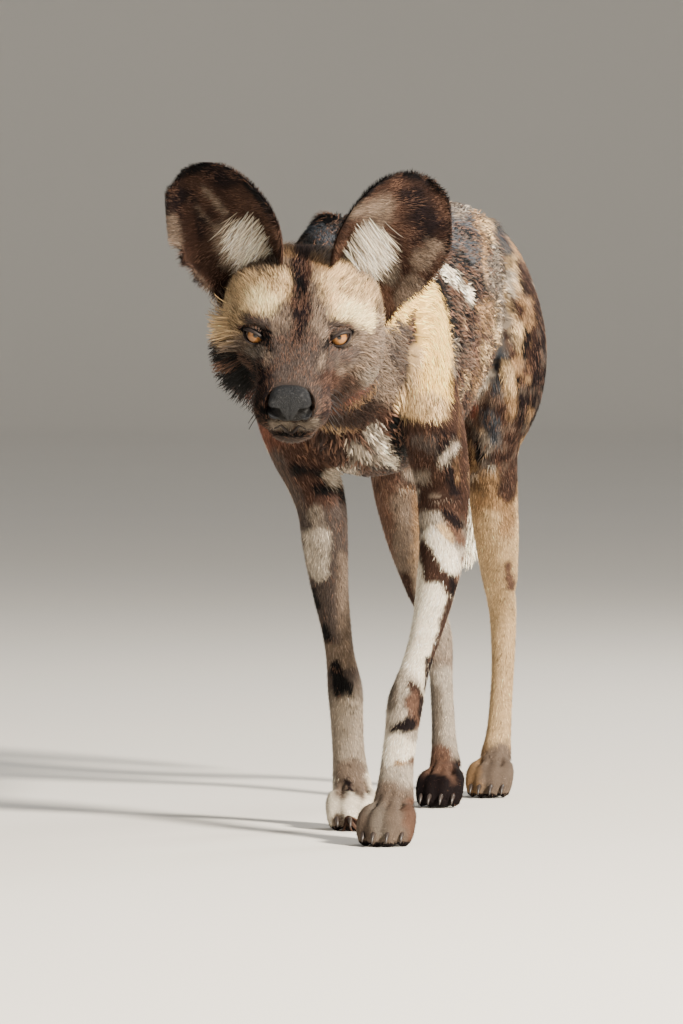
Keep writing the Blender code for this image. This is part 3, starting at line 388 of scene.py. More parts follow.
# Over the back, between the ears
BACK_MARKS = (
    ("black", 286, 224, 14, 345, 216, 16, 5),
    ("black", 286, 244, 16, 345, 244, 16, 5),
    # Painted sheen: a blue grey gleam on the black hair of the back
    ("slate", 316, 232, 7, 330, 240, 7, 5),
)
LEG_MARKS = {
    "fore_left": (
        ("grey_white", 424, 518, 8, 436, 522, 9, 4),
        ("brown", 452, 518, 6, 460, 540, 5, 4),
        ("black_brown", 446, 512, 4, 461, 526, 3.5, 2),
        ("umber", 426, 548, 8, 432, 574, 9, 3),
        ("umber", 432, 566, 8, 448, 586, 8, 3),
        ("black_brown", 458, 570, 5, 454, 592, 5, 3),
        ("brown", 463, 560, 3, 460, 580, 3, 2),
        ("white", 431, 534, 7, 444, 550, 9, 2.5),
        ("white", 444, 550, 9, 455, 566, 7, 2.5),
        ("cream", 440, 526, 3, 452, 540, 3, 2),
        ("white", 436, 590, 8, 424, 626, 13, 2.5),
        ("white", 424, 626, 13, 408, 676, 15, 2.5),
        ("umber", 451, 600, 3.5, 441, 634, 4.5, 2),
        ("umber", 441, 634, 4.5, 430, 668, 4.5, 2),
        ("black_brown", 430, 660, 4.5, 428, 690, 5, 2),
        ("grey_white", 404, 690, 18, 404, 726, 20, 5),
        ("ash", 394, 688, 5, 391, 706, 5, 3),
        ("umber", 410, 684, 4, 424, 702, 5, 2.5),
        ("brown", 412, 700, 7, 420, 724, 7, 4),
        ("black_brown", 422, 700, 3, 424, 728, 3, 2.5),
        ("black_brown", 396, 732, 7, 410, 724, 7, 3),
        ("white", 396, 750, 16, 396, 752, 16, 5),
        ("brown", 412, 762, 4, 418, 770, 4, 3),
        ("tan", 398, 764, 4, 404, 764, 3, 3),
        ("black_brown", 378, 762, 4, 377, 772, 4, 3),
        ("grey_white", 386, 780, 14, 404, 778, 12, 5),
        ("ash_tan", 392, 808, 24, 392, 840, 28, 8),
        ("brown", 412, 806, 8, 416, 838, 8, 6),
        ("ash", 376, 812, 8, 380, 830, 8, 6),
    ),
    "fore_right": (
        ("umber", 308, 488, 14, 320, 500, 14, 6),
        ("black", 316, 489, 4, 330, 490, 4, 3),
        # Grey brown at the top of the right foreleg: partly its own colour, partly painted shade of the
        # head's shadow
        ("grey_brown", 290, 492, 8, 300, 516, 8, 5),
        ("black", 342, 490, 5, 344, 512, 4, 2),
        ("ash", 316, 514, 7, 324, 526, 7, 5),
        # Grey brown down the right foreleg: partly its own colour, partly painted shade of the head's shadow
        ("grey_brown", 340, 520, 16, 342, 660, 16, 8),
        ("grey_white", 312, 538, 9, 318, 570, 9, 4),
        ("grey_white", 324, 534, 5, 325, 560, 5, 4),
        ("ash_tan", 345, 560, 6, 346, 640, 6, 6),
        ("black", 312, 590, 3, 317, 606, 3, 2),
        ("black", 324, 629, 4, 330, 646, 4.5, 1.8),
        ("ash_tan", 332, 656, 14, 350, 656, 12, 4),
        ("black", 336, 667, 6, 343, 694, 8, 2),
        ("black", 345, 688, 8, 350, 704, 6, 2),
        # Painted shade: white hair of the right pastern in shade, drawn grey
        ("slate_white", 348, 716, 18, 350, 756, 18, 6),
        ("ash_tan", 350, 776, 16, 352, 790, 16, 6),
        ("black_brown", 348, 782, 3, 352, 800, 3.5, 2),
        ("white", 352, 806, 10, 354, 822, 12, 4),
        ("ash_tan", 338, 822, 8, 342, 834, 8, 5),
    ),
    "hind_left": (
        ("tan", 490, 484, 15, 497, 520, 18, 6),
        ("umber", 510, 430, 9, 508, 490, 9, 5),
        ("cream", 490, 520, 10, 494, 640, 10, 6),
        ("brown", 508, 566, 4, 511, 588, 4, 3),
        ("cream", 498, 650, 14, 499, 740, 14, 8),
        ("ash_tan", 499, 760, 16, 499, 800, 20, 8),
    ),
    "hind_right": (
        # Brown of the inner thigh between the forelegs: partly its own colour, partly painted shade
        ("brown", 380, 484, 15, 392, 560, 14, 8),
        ("ash_tan", 402, 500, 9, 404, 580, 9, 7),
        ("umber", 404, 580, 7, 412, 600, 7, 5),
        ("grey_white", 442, 680, 14, 444, 748, 14, 6),
        # Painted shade: the shaded half of the right hind pastern, drawn ash grey
        ("ash", 436, 690, 6, 436, 740, 6, 5),
        ("brown", 438, 758, 14, 440, 776, 14, 6),
        ("black_brown", 436, 790, 16, 444, 814, 22, 5),
    ),
}
HEAD_MARKS = (
    ("grey_brown", 300, 352, 18, 298, 368, 20, 8),
    ("cream", 244, 300, 22, 276, 286, 18, 8),
    ("cream", 228, 322, 14, 238, 300, 13, 8),
    ("pale", 258, 300, 10, 270, 306, 9, 8),
    ("cream", 352, 300, 24, 334, 280, 16, 9),
    ("pale", 346, 312, 9, 366, 318, 9, 7),
    ("tan", 284, 256, 3, 291, 253, 5, 3),
    ("tan", 316, 260, 6, 326, 267, 4, 4),
    ("umber", 300, 248, 3, 299, 268, 7, 3),
    ("black_brown", 299, 262, 6, 301, 312, 10, 5),
    ("black", 300, 280, 2, 301, 306, 5, 4),
    ("black_brown", 301, 314, 10, 299, 342, 4, 6),
    ("grey_brown", 252, 320, 7, 264, 325, 7, 4),
    ("black", 240, 328, 3.2, 267, 335, 4.5, 2),
    ("black", 265, 334, 5, 268, 350, 4.5, 2),
    ("grey_brown", 334, 327, 6, 348, 327, 6, 4),
    ("black", 329, 342, 3.6, 354, 331, 3.4, 2),
    ("black", 330, 339, 3.2, 327, 350, 2.8, 2),
    # Black of the dog's right cheek: partly its own black fur, partly painted shade of the cheek's shadowed
    # side
    ("black", 226, 356, 9, 254, 373, 12, 4),
    ("ash", 251, 350, 5, 262, 354, 5, 4),
    # Painted shade: the shadowed right side of the muzzle, drawn black brown
    ("black_brown", 264, 374, 6, 263, 402, 8, 6),
    ("ash_tan", 268, 356, 3, 265, 364, 3, 3),
    ("grey_brown", 340, 352, 9, 352, 354, 8, 5),
    ("ash_tan", 323, 356, 3, 319, 368, 3, 3),
    ("ash_tan", 362, 366, 7, 369, 360, 6, 5),
    # These three black strokes on the right cheek and jaw are partly black fur, partly painted shade of the
    # shadowed side
    ("black", 222, 344, 6, 220, 364, 8, 4),
    ("black", 236, 374, 15, 240, 400, 16, 5),
    ("black", 248, 406, 13, 262, 428, 9, 5),
    ("brown", 230, 360, 2.5, 238, 364, 2.5, 2),
    ("ash", 206, 322, 8, 208, 338, 7, 5),
    ("umber", 332, 382, 10, 340, 398, 11, 6),
    ("black_brown", 326, 396, 7, 330, 416, 7, 7),
    ("ash", 372, 376, 10, 384, 368, 9, 6),
    ("red_brown", 370, 402, 11, 356, 424, 13, 7),
    ("umber", 350, 404, 8, 342, 420, 8, 6),
    ("red_brown", 356, 424, 16, 346, 448, 18, 6),
    ("red_brown", 316, 464, 15, 352, 460, 18, 6),
    ("umber", 322, 474, 6, 344, 476, 6, 5),
    ("ash", 276, 424, 4, 288, 426, 4.5, 3),
    ("ash", 300, 426, 4.5, 314, 424, 4, 3),
    ("grey_brown", 276, 441, 4.5, 316, 441, 4.5, 3),
    ("black", 266, 434, 2.0, 326, 435, 2.0, 1.2),
    ("black", 326, 435, 2.0, 336, 425, 1.6, 1.2),
    ("umber", 286, 454, 6, 320, 456, 7, 4),
)
EAR_MARKS = {
    "ear_right": (
        ("black_brown", 184, 200, 12, 198, 224, 14, 9),
        ("black_brown", 216, 176, 8, 236, 182, 6, 6),
        ("ash_tan", 206, 190, 2.5, 226, 212, 2.5, 3),
        ("ash_tan", 198, 206, 2, 214, 226, 2, 3),
        ("ash_tan", 173, 222, 6, 176, 242, 7, 4),
        ("umber", 190, 210, 6, 192, 250, 6, 5),
        ("ash_tan", 222, 230, 9, 232, 262, 10, 7),
        ("ash_tan", 190, 272, 5, 206, 292, 6, 4),
        ("black_brown", 182, 264, 4, 200, 284, 4, 3),
    ),
    "ear_left": (
        ("ash_tan", 358, 212, 6, 382, 208, 9, 10),
        ("black_brown", 414, 196, 13, 426, 232, 12, 13),
        ("ash", 370, 232, 7, 388, 270, 10, 7),
        ("ash_tan", 434, 246, 8, 420, 262, 8, 5),
        ("ash_tan", 412, 284, 10, 402, 300, 8, 5),
        ("brown", 382, 292, 6, 388, 306, 6, 4),
    ),
}

# Base colour of a leg or the tail at shares from its top to its end
PART_STOPS = {
    "fore_left": ((0, "umber"), (0.40, "umber"), (0.46, "grey_white"), (0.50, "white"), (0.86, "white"),
                  (0.95, "ash_tan")),
    # On the right foreleg the grey brown is partly painted shade of the head's shadow, and the shaded white
    # is white hair with painted shade
    "fore_right": ((0, "brown"), (0.30, "red_brown"), (0.40, "grey_brown"), (0.70, "grey_brown"),
                   (0.80, "slate_white"), (0.90, "ash_tan"), (0.97, "white")),
    "hind_left": ((0, "brown"), (0.25, "tan"), (0.45, "cream"), (0.80, "cream"), (0.92, "tan")),
    "hind_right": ((0, "umber"), (0.30, "brown"), (0.45, "tan"), (0.60, "grey_white"), (0.85, "brown"),
                   (0.93, "black_brown")),
    "tail": ((0, "tan"), (0.22, "brown"), (0.34, "black_brown"), (0.44, "umber"), (0.52, "white"),
             (1, "white")),
}

# Bands of the skin that are smoothed after it is closed: from, to, weight; along the head, and by height
SKULL_BANDS = ((-0.11, 0.075, 1.0), (0.075, 0.084, 0.4))
TRUNK_BANDS = ((0.40, 0.43, 0.3), (0.43, 0.46, 0.6), (0.46, 0.80, 1.0))
# From how far ahead of the withers to how far behind them the trunk is smoothed
TRUNK_SPAN = (-0.20, 0.55)
# Where the skin is made finer: ahead of this on the head, this near to an eye, and below this height
FINE_HEAD, FINE_EYES, FINE_PAWS = -0.045, 0.019, 0.048

# Large odd numbers that mix the place of a cell of noise, its seed and the sum
CELL_MIXERS = (374761393, 668265263, 2147483647)
SEED_MIXER = 974711
LAST_MIXER = 1274126177

# Radius at which the lids' edges lie, thickness of each edge, and steps along a lid
LID_EDGE_RADIUS = 0.01285
LID_EDGES = ((True, 0.0016), (False, 0.0010))
LID_STEPS = 24
# Rings and sides of an eyeball, and how much its cornea stands out
BALL_ROWS, BALL_SIDES = 40, 64
CORNEA = 0.035

# Foremost place of the nose, and radii of the nostril along its path
NOSE_FRONT = 0.1010
NOSTRIL_RADII = (0.0016, 0.0040, 0.0054, 0.0044, 0.0018)

# Claw sections from root to tip: half width, above, below
CLAW_SECTIONS = (
    (0.0024, 0.0032, 0.0030), (0.0023, 0.0029, 0.0027), (0.0016, 0.0020, 0.0018), (0.0006, 0.0007, 0.0006),
)

# Whiskers: shares along one, and its radius there
WHISKER_SHARES = (-0.1, 0.3, 0.65, 1.0)
WHISKER_RADII = (0.00016, 0.00014, 0.00011, 0.00006)

# Tufts: how deep the root sits, and how thick a tuft is for its width
TUFT_SINK = 0.0012
TUFT_THICK = 0.35
# Painted shade: how much darker the skin is drawn under the tufts
SKIN_SHADE = 0.55
# Painted shade: how dark the short tufts are drawn at the root, where they lie deep in the coat
ROOT_SHADE, ROOT_SHADE_FACE = 0.58, 0.42
# Share of tufts in another tone, by piece
GRIZZLE = {"coat_trunk": 0.42, "coat_neck": 0.37, "coat_head": 0.37, "coat_tail": 0.1, "coat_ears": 0.34}
GRIZZLE_LEGS = 0.31
# Counts of the long tufts, and first seeds of the random draws
RUFF_COUNT, THROAT_COUNT, BRUSH_COUNT, EAR_HAIR_COUNT = 6000, 3600, 4200, 820
COAT_SEED, EAR_HAIR_SEED, LONG_HAIR_SEED, WHISKER_SEED = 100, 300, 401, 12


def tone(code):
    """Linear colour of a six-figure code."""
    parts = [int(code[k : k + 2], 16) / 255 for k in (0, 2, 4)]
    return tuple(((p + 0.055) / 1.055) ** 2.4 for p in parts)


def colour_field(label, text, code):
    return bpy.props.FloatVectorProperty(
        name=label, description=text, default=tone(code), size=3, min=0.0, max=1.0, subtype="COLOR"
    )


def size_field(label, text, value, low, high):
    return bpy.props.FloatProperty(
        name=label, description=text, default=value, min=low, max=high, precision=4, unit="LENGTH"
    )


class WildDogColours(bpy.types.PropertyGroup):
    """Colours of the coat's patches and of the bare parts."""

    black: colour_field("Black", "Blackest patches", "060508")
    black_brown: colour_field("Black brown", "Rims and dark patches", "171011")
    umber: colour_field("Umber", "Dark chocolate patches", "37261f")
    brown: colour_field("Brown", "Warm brown patches", "634a3d")
    red_brown: colour_field("Red brown", "Ruff and inner leg", "663f33")
    grey_brown: colour_field("Grey brown", "Muzzle and foreleg", "463d39")
    tan: colour_field("Tan", "Tawny patches", "927353")
    yellow_cream: colour_field("Yellow cream", "Great patch of the neck", "e6bd74")
    cream: colour_field("Cream", "Pale patches", "c6a77e")
    pale: colour_field("Pale", "Palest hairs of the brow", "d9c294")
    ash: colour_field("Ash", "Grey hairs", "74695e")
    ash_tan: colour_field("Ash tan", "Grizzled tan hairs", "6e5f53")
    grey_white: colour_field("Grey white", "Soft white patches", "a89c8d")
    white: colour_field("White", "White patches and tail brush", "f0e2cc")
    slate: colour_field("Slate", "Blue grey of the back", "3a3d42")
    # Painted shade: white hair in shade, drawn grey, for the right pastern
    slate_white: colour_field("Slate white", "Shaded white of the pastern", "948778")
    nose: colour_field("Nose", "Bare nose", "1a1c20")
    iris: colour_field("Iris", "Amber of the eyes", "8a5f37")
    claw: colour_field("Claw", "Horn of the claws", "241e1b")
    floor: colour_field("Floor", "Studio floor", "e6e2da")


class WildDogCoat(bpy.types.PropertyGroup):
    """Sizes of the skin's mesh and of the coat's tufts."""

    mesh_size: size_field("Skin mesh", "Size of the skin's cells", 0.0030, 0.0015, 0.01)
    body_length: size_field("Body hair", "Length of the tufts on the trunk", 0.0160, 0.004, 0.05)
    leg_length: size_field("Leg hair", "Length of the tufts on the legs", 0.0095, 0.003, 0.03)
    face_length: size_field("Face hair", "Length of the tufts on the face", 0.0092, 0.002, 0.03)
    ear_length: size_field("Ear hair", "Length of the tufts on the ears", 0.0062, 0.002, 0.03)
    ruff_length: size_field("Ruff hair", "Length of the cheek and throat hair", 0.034, 0.01, 0.08)
    brush_length: size_field("Brush hair", "Length of the tail's hair", 0.058, 0.02, 0.12)
    density: bpy.props.FloatProperty(
        name="Density", description="Share of the full count of tufts", default=1.0, min=0.05, max=1.2,
        subtype="FACTOR"
    )


class WildDogStudio(bpy.types.PropertyGroup):
    """Light of the studio."""

    key: bpy.props.FloatProperty(name="Key", description="Power of the main light", default=1350.0, min=0.0)
    fill: bpy.props.FloatProperty(name="Fill", description="Power of the soft light", default=32.0, min=0.0)
    rim: bpy.props.FloatProperty(name="Rim", description="Power of the light behind", default=120.0, min=0.0)
    sky: bpy.props.FloatProperty(
        name="Room", description="Strength of the room's light", default=0.42, min=0.0
    )


def frame_of_head():
    """The head's own axes: forward, to the dog's left, up."""
    turn = Matrix.Rotation(HEAD_YAW, 3, "Z") @ Matrix.Rotation(HEAD_PITCH, 3, "X")
    turn = turn @ Matrix.Rotation(HEAD_ROLL, 3, "Y")
    return turn @ Vector((0, -1, 0)), turn @ Vector((1, 0, 0)), turn @ Vector((0, 0, 1))


HEAD_FORWARD, HEAD_LEFT, HEAD_UP = frame_of_head()
HEAD_AXES = np.array((HEAD_FORWARD, HEAD_LEFT, HEAD_UP))


def on_head(forward, left, up):
    """A point of the head, given along the head's own axes from the middle of the eyes."""
    return EYE_MIDDLE + HEAD_FORWARD * forward + HEAD_LEFT * left + HEAD_UP * up


def head_places(points):
    """Points of the withers frame along the head's own axes."""
    return (points - np.array(EYE_MIDDLE)) @ HEAD_AXES.T


def curve_through(rows, steps):
    """Rows of numbers made finer by a Catmull-Rom curve through them."""
    rows = np.array(rows, float)
    padded = np.vstack([2 * rows[0] - rows[1], rows, 2 * rows[-1] - rows[-2]])
    fine = []
    for i in range(len(rows) - 1):
        a, b, c, d = padded[i : i + 4]
        second, third = 2 * a - 5 * b + 4 * c - d, 3 * b - a - 3 * c + d
        for t in np.arange(steps) / steps:
            fine.append(0.5 * (2 * b + (c - a) * t + second * t**2 + third * t**3))
    return np.array(fine + [rows[-1]])


def unit(vectors):
    return vectors / np.maximum(np.linalg.norm(vectors, axis=-1, keepdims=True), 1e-9)


def ease(low, high, values):
    """0 below low, 1 above high and smooth between."""
    t = np.clip((values - low) / (high - low), 0, 1)
    return t * t * (3 - 2 * t)


def noise(points, size, seed):
    """Smooth value noise from 0 to 1 with features about size across."""
    place = points / size + seed * 17.31
    base = np.floor(place).astype(np.int64)
    t = place - base
    t = t * t * (3 - 2 * t)
    total = np.zeros(len(points))
    for corner in itertools.product((0, 1), repeat=3):
        mixed = ((base + np.array(corner)) @ np.array(CELL_MIXERS) + seed * SEED_MIXER) & 0xFFFFFFFF
        mixed = ((mixed ^ (mixed >> 13)) * LAST_MIXER) & 0xFFFFFFFF
        value = ((mixed ^ (mixed >> 16)) & 0xFFFF) / 65535.0
        total += value * np.prod(np.where(np.array(corner) == 1, t, 1 - t), axis=1)
    return total


def ring_faces(rings, sides):
    """Faces of a sleeve through rings of points."""
    faces = []
    for r in range(rings - 1):
        for k in range(sides):
            n = (k + 1) % sides
            faces.append((r * sides + k, r * sides + n, (r + 1) * sides + n, (r + 1) * sides + k))
    return faces


class Clay:
    """Closed tubes and blobs gathered in one mesh."""

    def __init__(self):
        self.points, self.faces = [], []

    def add(self, points, faces):
        start = len(self.points)
        self.points += [tuple(p) for p in points]
        self.faces += [tuple(start + i for i in face) for face in faces]

    def tube(self, points, sizes, up, steps=4, square=2.2, sides=28):
        """A tube through points. Each size is half width, reach towards up, reach away from it."""
        rows = np.hstack([np.array(points, float), np.array(sizes, float)])
        fine = curve_through(rows, steps) if steps > 1 else rows
        centres, sizes = fine[:, :3], np.maximum(fine[:, 3:], 0.0004)
        along = unit(np.gradient(centres, axis=0))
        rings = []
        for centre, way, (half, above, below) in zip(centres, along, sizes):
            high = unit(np.array(up) - way * np.dot(up, way))
            side = np.cross(way, high)
            turn = np.linspace(0, 2 * math.pi, sides, endpoint=False)
            c, s = np.cos(turn), np.sin(turn)
            c = np.sign(c) * np.abs(c) ** (2 / square)
            s = np.sign(s) * np.abs(s) ** (2 / square)
            reach = np.where(s > 0, above, below)
            rings.append(centre + np.outer(c * half, side) + np.outer(s * reach, high))
        points = [p for ring in rings for p in ring] + [centres[0], centres[-1]]
        faces, last = ring_faces(len(rings), sides), (len(rings) - 1) * sides
        for k in range(sides):
            n = (k + 1) % sides
            faces.append((len(points) - 2, n, k))
            faces.append((len(points) - 1, last + k, last + n))
        self.add(points, faces)

    def blob(self, centre, axes, radii, cuts=4):
        """An ellipsoid with the given axes and radii."""
        ball = bmesh.new()
        bmesh.ops.create_icosphere(ball, subdivisions=cuts, radius=1.0)
        spots = np.array([v.co for v in ball.verts]) * np.array(radii)
        self.add(np.array(centre) + spots @ np.array(axes), [[v.index for v in f.verts] for f in ball.faces])
        ball.free()

    def as_object(self, name):
        mesh = bpy.data.meshes.new(name)
        mesh.from_pydata(self.points, [], self.faces)
        tidy = bmesh.new()
        tidy.from_mesh(mesh)
        bmesh.ops.recalc_face_normals(tidy, faces=tidy.faces)
        tidy.to_mesh(mesh)
        tidy.free()
        made = bpy.data.objects.new(name, mesh)
        bpy.context.scene.collection.objects.link(made)
        return made


def modify(obj, kind, **settings):
    """Adds one modifier with its settings and applies it."""
    step = obj.modifiers.new(kind.lower(), kind)
    for key, value in settings.items():
        setattr(step, key, value)
    bpy.context.view_layer.update()
    graph = bpy.context.evaluated_depsgraph_get()
    mesh = bpy.data.meshes.new_from_object(obj.evaluated_get(graph))
    old = obj.data
    obj.modifiers.clear()
    obj.data = mesh
    bpy.data.meshes.remove(old)
    return obj


def points_of(obj, key="co"):
    found = np.empty(len(obj.data.vertices) * 3, np.float32)
    obj.data.vertices.foreach_get(key, found)
    return found.reshape(-1, 3).astype(float)


def normals_of(obj):
    return points_of(obj, "normal")


def set_points(obj, points):
    obj.data.vertices.foreach_set("co", np.asarray(points, np.float32).ravel())
    obj.data.update()


def press(points, centre, radius, push):
    """Moves the points near centre by push, fading to nothing at the radius."""
    away = np.linalg.norm(points - np.array(centre), axis=1) / radius
    share = np.clip(1 - away**2, 0, 1) ** 2
    return points + share[:, None] * np.array(push)


def along_path(points, path):
    """Distance of each point from a path of straight lines, and the share along it."""
    path = np.array(path, float)
    best, share = np.full(len(points), 1e9), np.zeros(len(points))
    for k in range(len(path) - 1):
        a, b = path[k], path[k + 1]
        t = np.clip((points - a) @ (b - a) / np.dot(b - a, b - a), 0, 1)
        away = np.linalg.norm(points - a - t[:, None] * (b - a), axis=1)
        share = np.where(away < best, (k + t) / (len(path) - 1), share)
        best = np.minimum(best, away)
    return best, share


def groove(points, normals, path, width, depth):
    """Sinks a soft line into the surface along a path, or raises a ridge where depth is negative."""
    away, share = along_path(points, path)
    fade = np.sin(np.clip(share, 0.02, 0.98) * math.pi) ** 0.4
    return points - normals * (depth * fade * np.exp(-((away / width) ** 2)))[:, None]


def finish_piece(obj, look, slot, *nodes, smooth=True):
    """Puts a made piece in the row frame, gives it its look and ties it to the frame."""
    set_points(obj, points_of(obj) - ORIGIN)
    if smooth:
        obj.data.polygons.foreach_set("use_smooth", [True] * len(obj.data.polygons))
    obj.data.materials.clear()
    obj.data.materials.append(look)
    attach(obj, "root")
    if nodes:
        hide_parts(*nodes)
    return obj


def paw_point(place, aside, forward, up):
    """A point of a paw, given to the dog's left, forward and up from the middle of its pastern."""
    x, y, _, turn = place
    c, s = math.cos(turn), math.sin(turn)
    return (x + aside * c + forward * s, y + aside * s - forward * c, up)


def paw(clay, place):
    """A pad with four toes that points forward, its middle under the pastern."""
    scale = place[2]
    pad = [r - PAW_DEPTH for r in (0.0255 * scale, 0.027, 0.027)]
    clay.blob(paw_point(place, 0, 0.004, 0.026), np.eye(3), pad)
    for offset, length in zip(TOE_OFFSETS, TOE_LENGTHS):
        side, reach = offset * scale, length * scale
        rows = ((side * 0.6, 0, 0.034), (side * 0.95, 0.55 * reach + 0.008, 0.029),
                (side, reach + 0.008, 0.012), (side, reach + 0.016, 0.006))
        sizes = [[TOE_RADIUS * scale * k - PAW_DEPTH] * 3 for k in (1.1, 1.15, 1.0, 0.5)]
        clay.tube([paw_point(place, *row) for row in rows], sizes, (0, 0, 1), square=2.0, sides=16)


@functools.lru_cache(maxsize=1)
def long_forms():
    """Middle line, sections, way up and depth of the coat of each long form."""
    neck = [(0.001 * k, y, z) for k, (y, z, *_) in enumerate(NECK)]
    skull = [on_head(f, 0, u) for f, u, *_ in HEAD]
    found = {
        "torso": ([(0, y, z) for y, z, *_ in TORSO], [row[2:] for row in TORSO], (0, 0, 1), BODY_DEPTH),
        "neck": (neck, [row[2:] for row in NECK], (0, 0, 1), BODY_DEPTH),
        "head": (skull, [row[2:] for row in HEAD], HEAD_UP, HEAD_DEPTH),
        "tail": ([p for p, _ in TAIL], [(r, r, r) for _, r in TAIL], (0, 1, 0.2), LEG_DEPTH),
    }
    for side in ("left", "right"):
        found["fore_" + side] = FORELEG_PATHS[side], FORELEG_SECTIONS, (0, -1, 0), LEG_DEPTH
        found["hind_" + side] = HINDLEG_PATHS[side], HINDLEG_SECTIONS, (0, -1, 0), LEG_DEPTH
        found["groin_" + side] = GROIN[side], GROIN_SECTIONS, (0, -1, 0), LEG_DEPTH
    return found


def long_tube(clay, name, **settings):
    """One long form as a tube, less the depth of its coat."""
    path, sections, up, depth = long_forms()[name]
    clay.tube(path, [[r - depth for r in row] for row in sections], up, **settings)


def head_blob(clay, row, sign=1):
    forward, left, up, *radii = row
    clay.blob(on_head(forward, left * sign, up), HEAD_AXES, [r - HEAD_DEPTH for r in radii])


def dog_clay():
    """The dog without its ears as overlapping closed forms, less the depth of the coat."""
    clay = Clay()
    for name in ("torso", "neck"):
        long_tube(clay, name)
    for side in ("left", "right"):
        for name in ("fore_", "hind_", "groin_"):
            long_tube(clay, name + side)
    for place in PAWS.values():
        paw(clay, place)
    long_tube(clay, "tail")
    long_tube(clay, "head", square=2.3)
    for sign in (-1, 1):
        for row in (CHEEK, BROW, CHEEKBONE, WHISKER_PAD):
            head_blob(clay, row, sign)
    head_blob(clay, CHIN)
    return clay


def eye_frame(sign):
    """Middle of an eye, the way it looks, its long axis towards the outer corner, and across it."""
    look = HEAD_FORWARD * math.cos(EYE_OUTWARD) + HEAD_LEFT * (sign * math.sin(EYE_OUTWARD))
    look = (look * math.cos(EYE_UPWARD) + HEAD_UP * math.sin(EYE_UPWARD)).normalized()
    level = (HEAD_LEFT * sign - look * look.dot(HEAD_LEFT * sign)).normalized()
    upward = HEAD_UP - look * look.dot(HEAD_UP) - level * level.dot(HEAD_UP)
    upward.normalize()
    outer = level * math.cos(LID_SLANT) + upward * math.sin(LID_SLANT)
    across = upward * math.cos(LID_SLANT) - level * math.sin(LID_SLANT)
    forward, left, up = EYE_PLACE
    return on_head(forward, left * sign, up), look, outer, across


def eye_places(points, sign):
    """Points along the axes of one eye: towards the outer corner, across, and out of the head."""
    middle, look, outer, across = eye_frame(sign)
    return (points - np.array(middle)) @ np.array((outer, across, look)).T


def lid_line(share, upper):
    """Height of the lid's edge at a share of the half width from the middle."""
    open_share = np.clip(1 - np.abs(share) ** 2, 0, 1)
    return LID_UPPER * open_share**0.8 if upper else -LID_LOWER * open_share**0.9


def shape_eyes(points):
    """Draws the skin over the eyeballs as lids and opens the almond between them."""
    for sign in (-1, 1):
        middle, look, outer, across = eye_frame(sign)
        local = eye_places(points, sign)
        a, b, c = local.T
        side = np.hypot(a, b)
        near = ease(0.021, 0.0125, side) * (c > -0.004) * (c < 0.03)
        shell = np.sqrt(np.maximum((LID_RADIUS - 0.0010) ** 2 - side**2, 0.0))
        reach = np.where(side < LID_RADIUS - 0.0012, shell, np.minimum(c, 0.004))
        c = c + (reach - c) * near * (side < LID_RADIUS - 0.0012)
        share = np.clip(a / LID_HALF_WIDTH, -1, 1)
        inside = np.minimum(lid_line(share, True) - b, b - lid_line(share, False))
        inside = np.where(np.abs(a) < LID_HALF_WIDTH, inside, -0.01)
        ball = np.sqrt(np.maximum((EYE_RADIUS - 0.0016) ** 2 - side**2, 0.0))
        opened = ease(-0.0002, 0.0010, inside) * (c > 0)
        c = c + (ball - c) * opened
        fold = (b - lid_line(share, True) - 0.0042) / 0.0013
        crease = np.exp(-(fold**2)) * ease(0.016, 0.009, np.abs(a))
        c = c - 0.0010 * crease * (c > 0)
        moved = np.stack([a, b, c], axis=1) @ np.array((outer, across, look)) + np.array(middle)
        points = np.where((near > 0)[:, None], moved, points)
    return points


def mouth_path():
    half = [on_head(*p) for p in MOUTH_LINE]
    other = [on_head(f, -left, up) for f, left, up in MOUTH_LINE[1:]]
    return list(reversed(other)) + half


def shape_head(points, normals):
    """Brow, sockets, cheeks, lips and the folds of the face."""
    for sign in (-1, 1):
        middle, look, outer, across = eye_frame(sign)
        points = press(points, middle + look * 0.017, 0.026, -look * 0.0080)
        points = press(points, on_head(0.030, 0.040 * sign, -0.026), 0.022, -HEAD_LEFT * (0.004 * sign))
        points = press(points, middle + outer * 0.004 + across * 0.014 + look * 0.006, 0.014, look * 0.0022)
        points = press(points, middle - outer * 0.014 - across * 0.010 + look * 0.008, 0.014, -look * 0.0022)
        points = press(points, on_head(0.052, 0.020 * sign, -0.020), 0.020, -HEAD_UP * 0.0022)
    local = head_places(points)
    around = np.hypot(local[:, 1] / 0.0225, (local[:, 2] - NOSE[2]) / 0.0185)
    limit = 0.0860 + 0.030 * ease(1.0, 1.45, around)
    local[:, 0] = np.where(local[:, 0] > 0.06, np.minimum(local[:, 0], limit), local[:, 0])
    points = local @ HEAD_AXES + np.array(EYE_MIDDLE)
    points = press(points, on_head(-0.030, 0, 0.045), 0.030, -HEAD_UP * 0.003)
    points = press(points, on_head(0.084, 0, -0.052), 0.012, -HEAD_FORWARD * 0.002)
    fold = [on_head(-0.004, 0, 0.034), on_head(-0.030, 0, 0.046), on_head(-0.062, 0, 0.062)]
    points = groove(points, normals, fold, 0.0060, 0.0016)
    points = groove(points, normals, mouth_path(), 0.0017, 0.0034)
    lip = [p + HEAD_UP * 0.0046 for p in mouth_path()]
    points = groove(points, normals, lip, 0.0030, -0.0010)
    lower = [p - HEAD_UP * 0.0040 for p in mouth_path()]
    return groove(points, normals, lower, 0.0026, -0.0008)


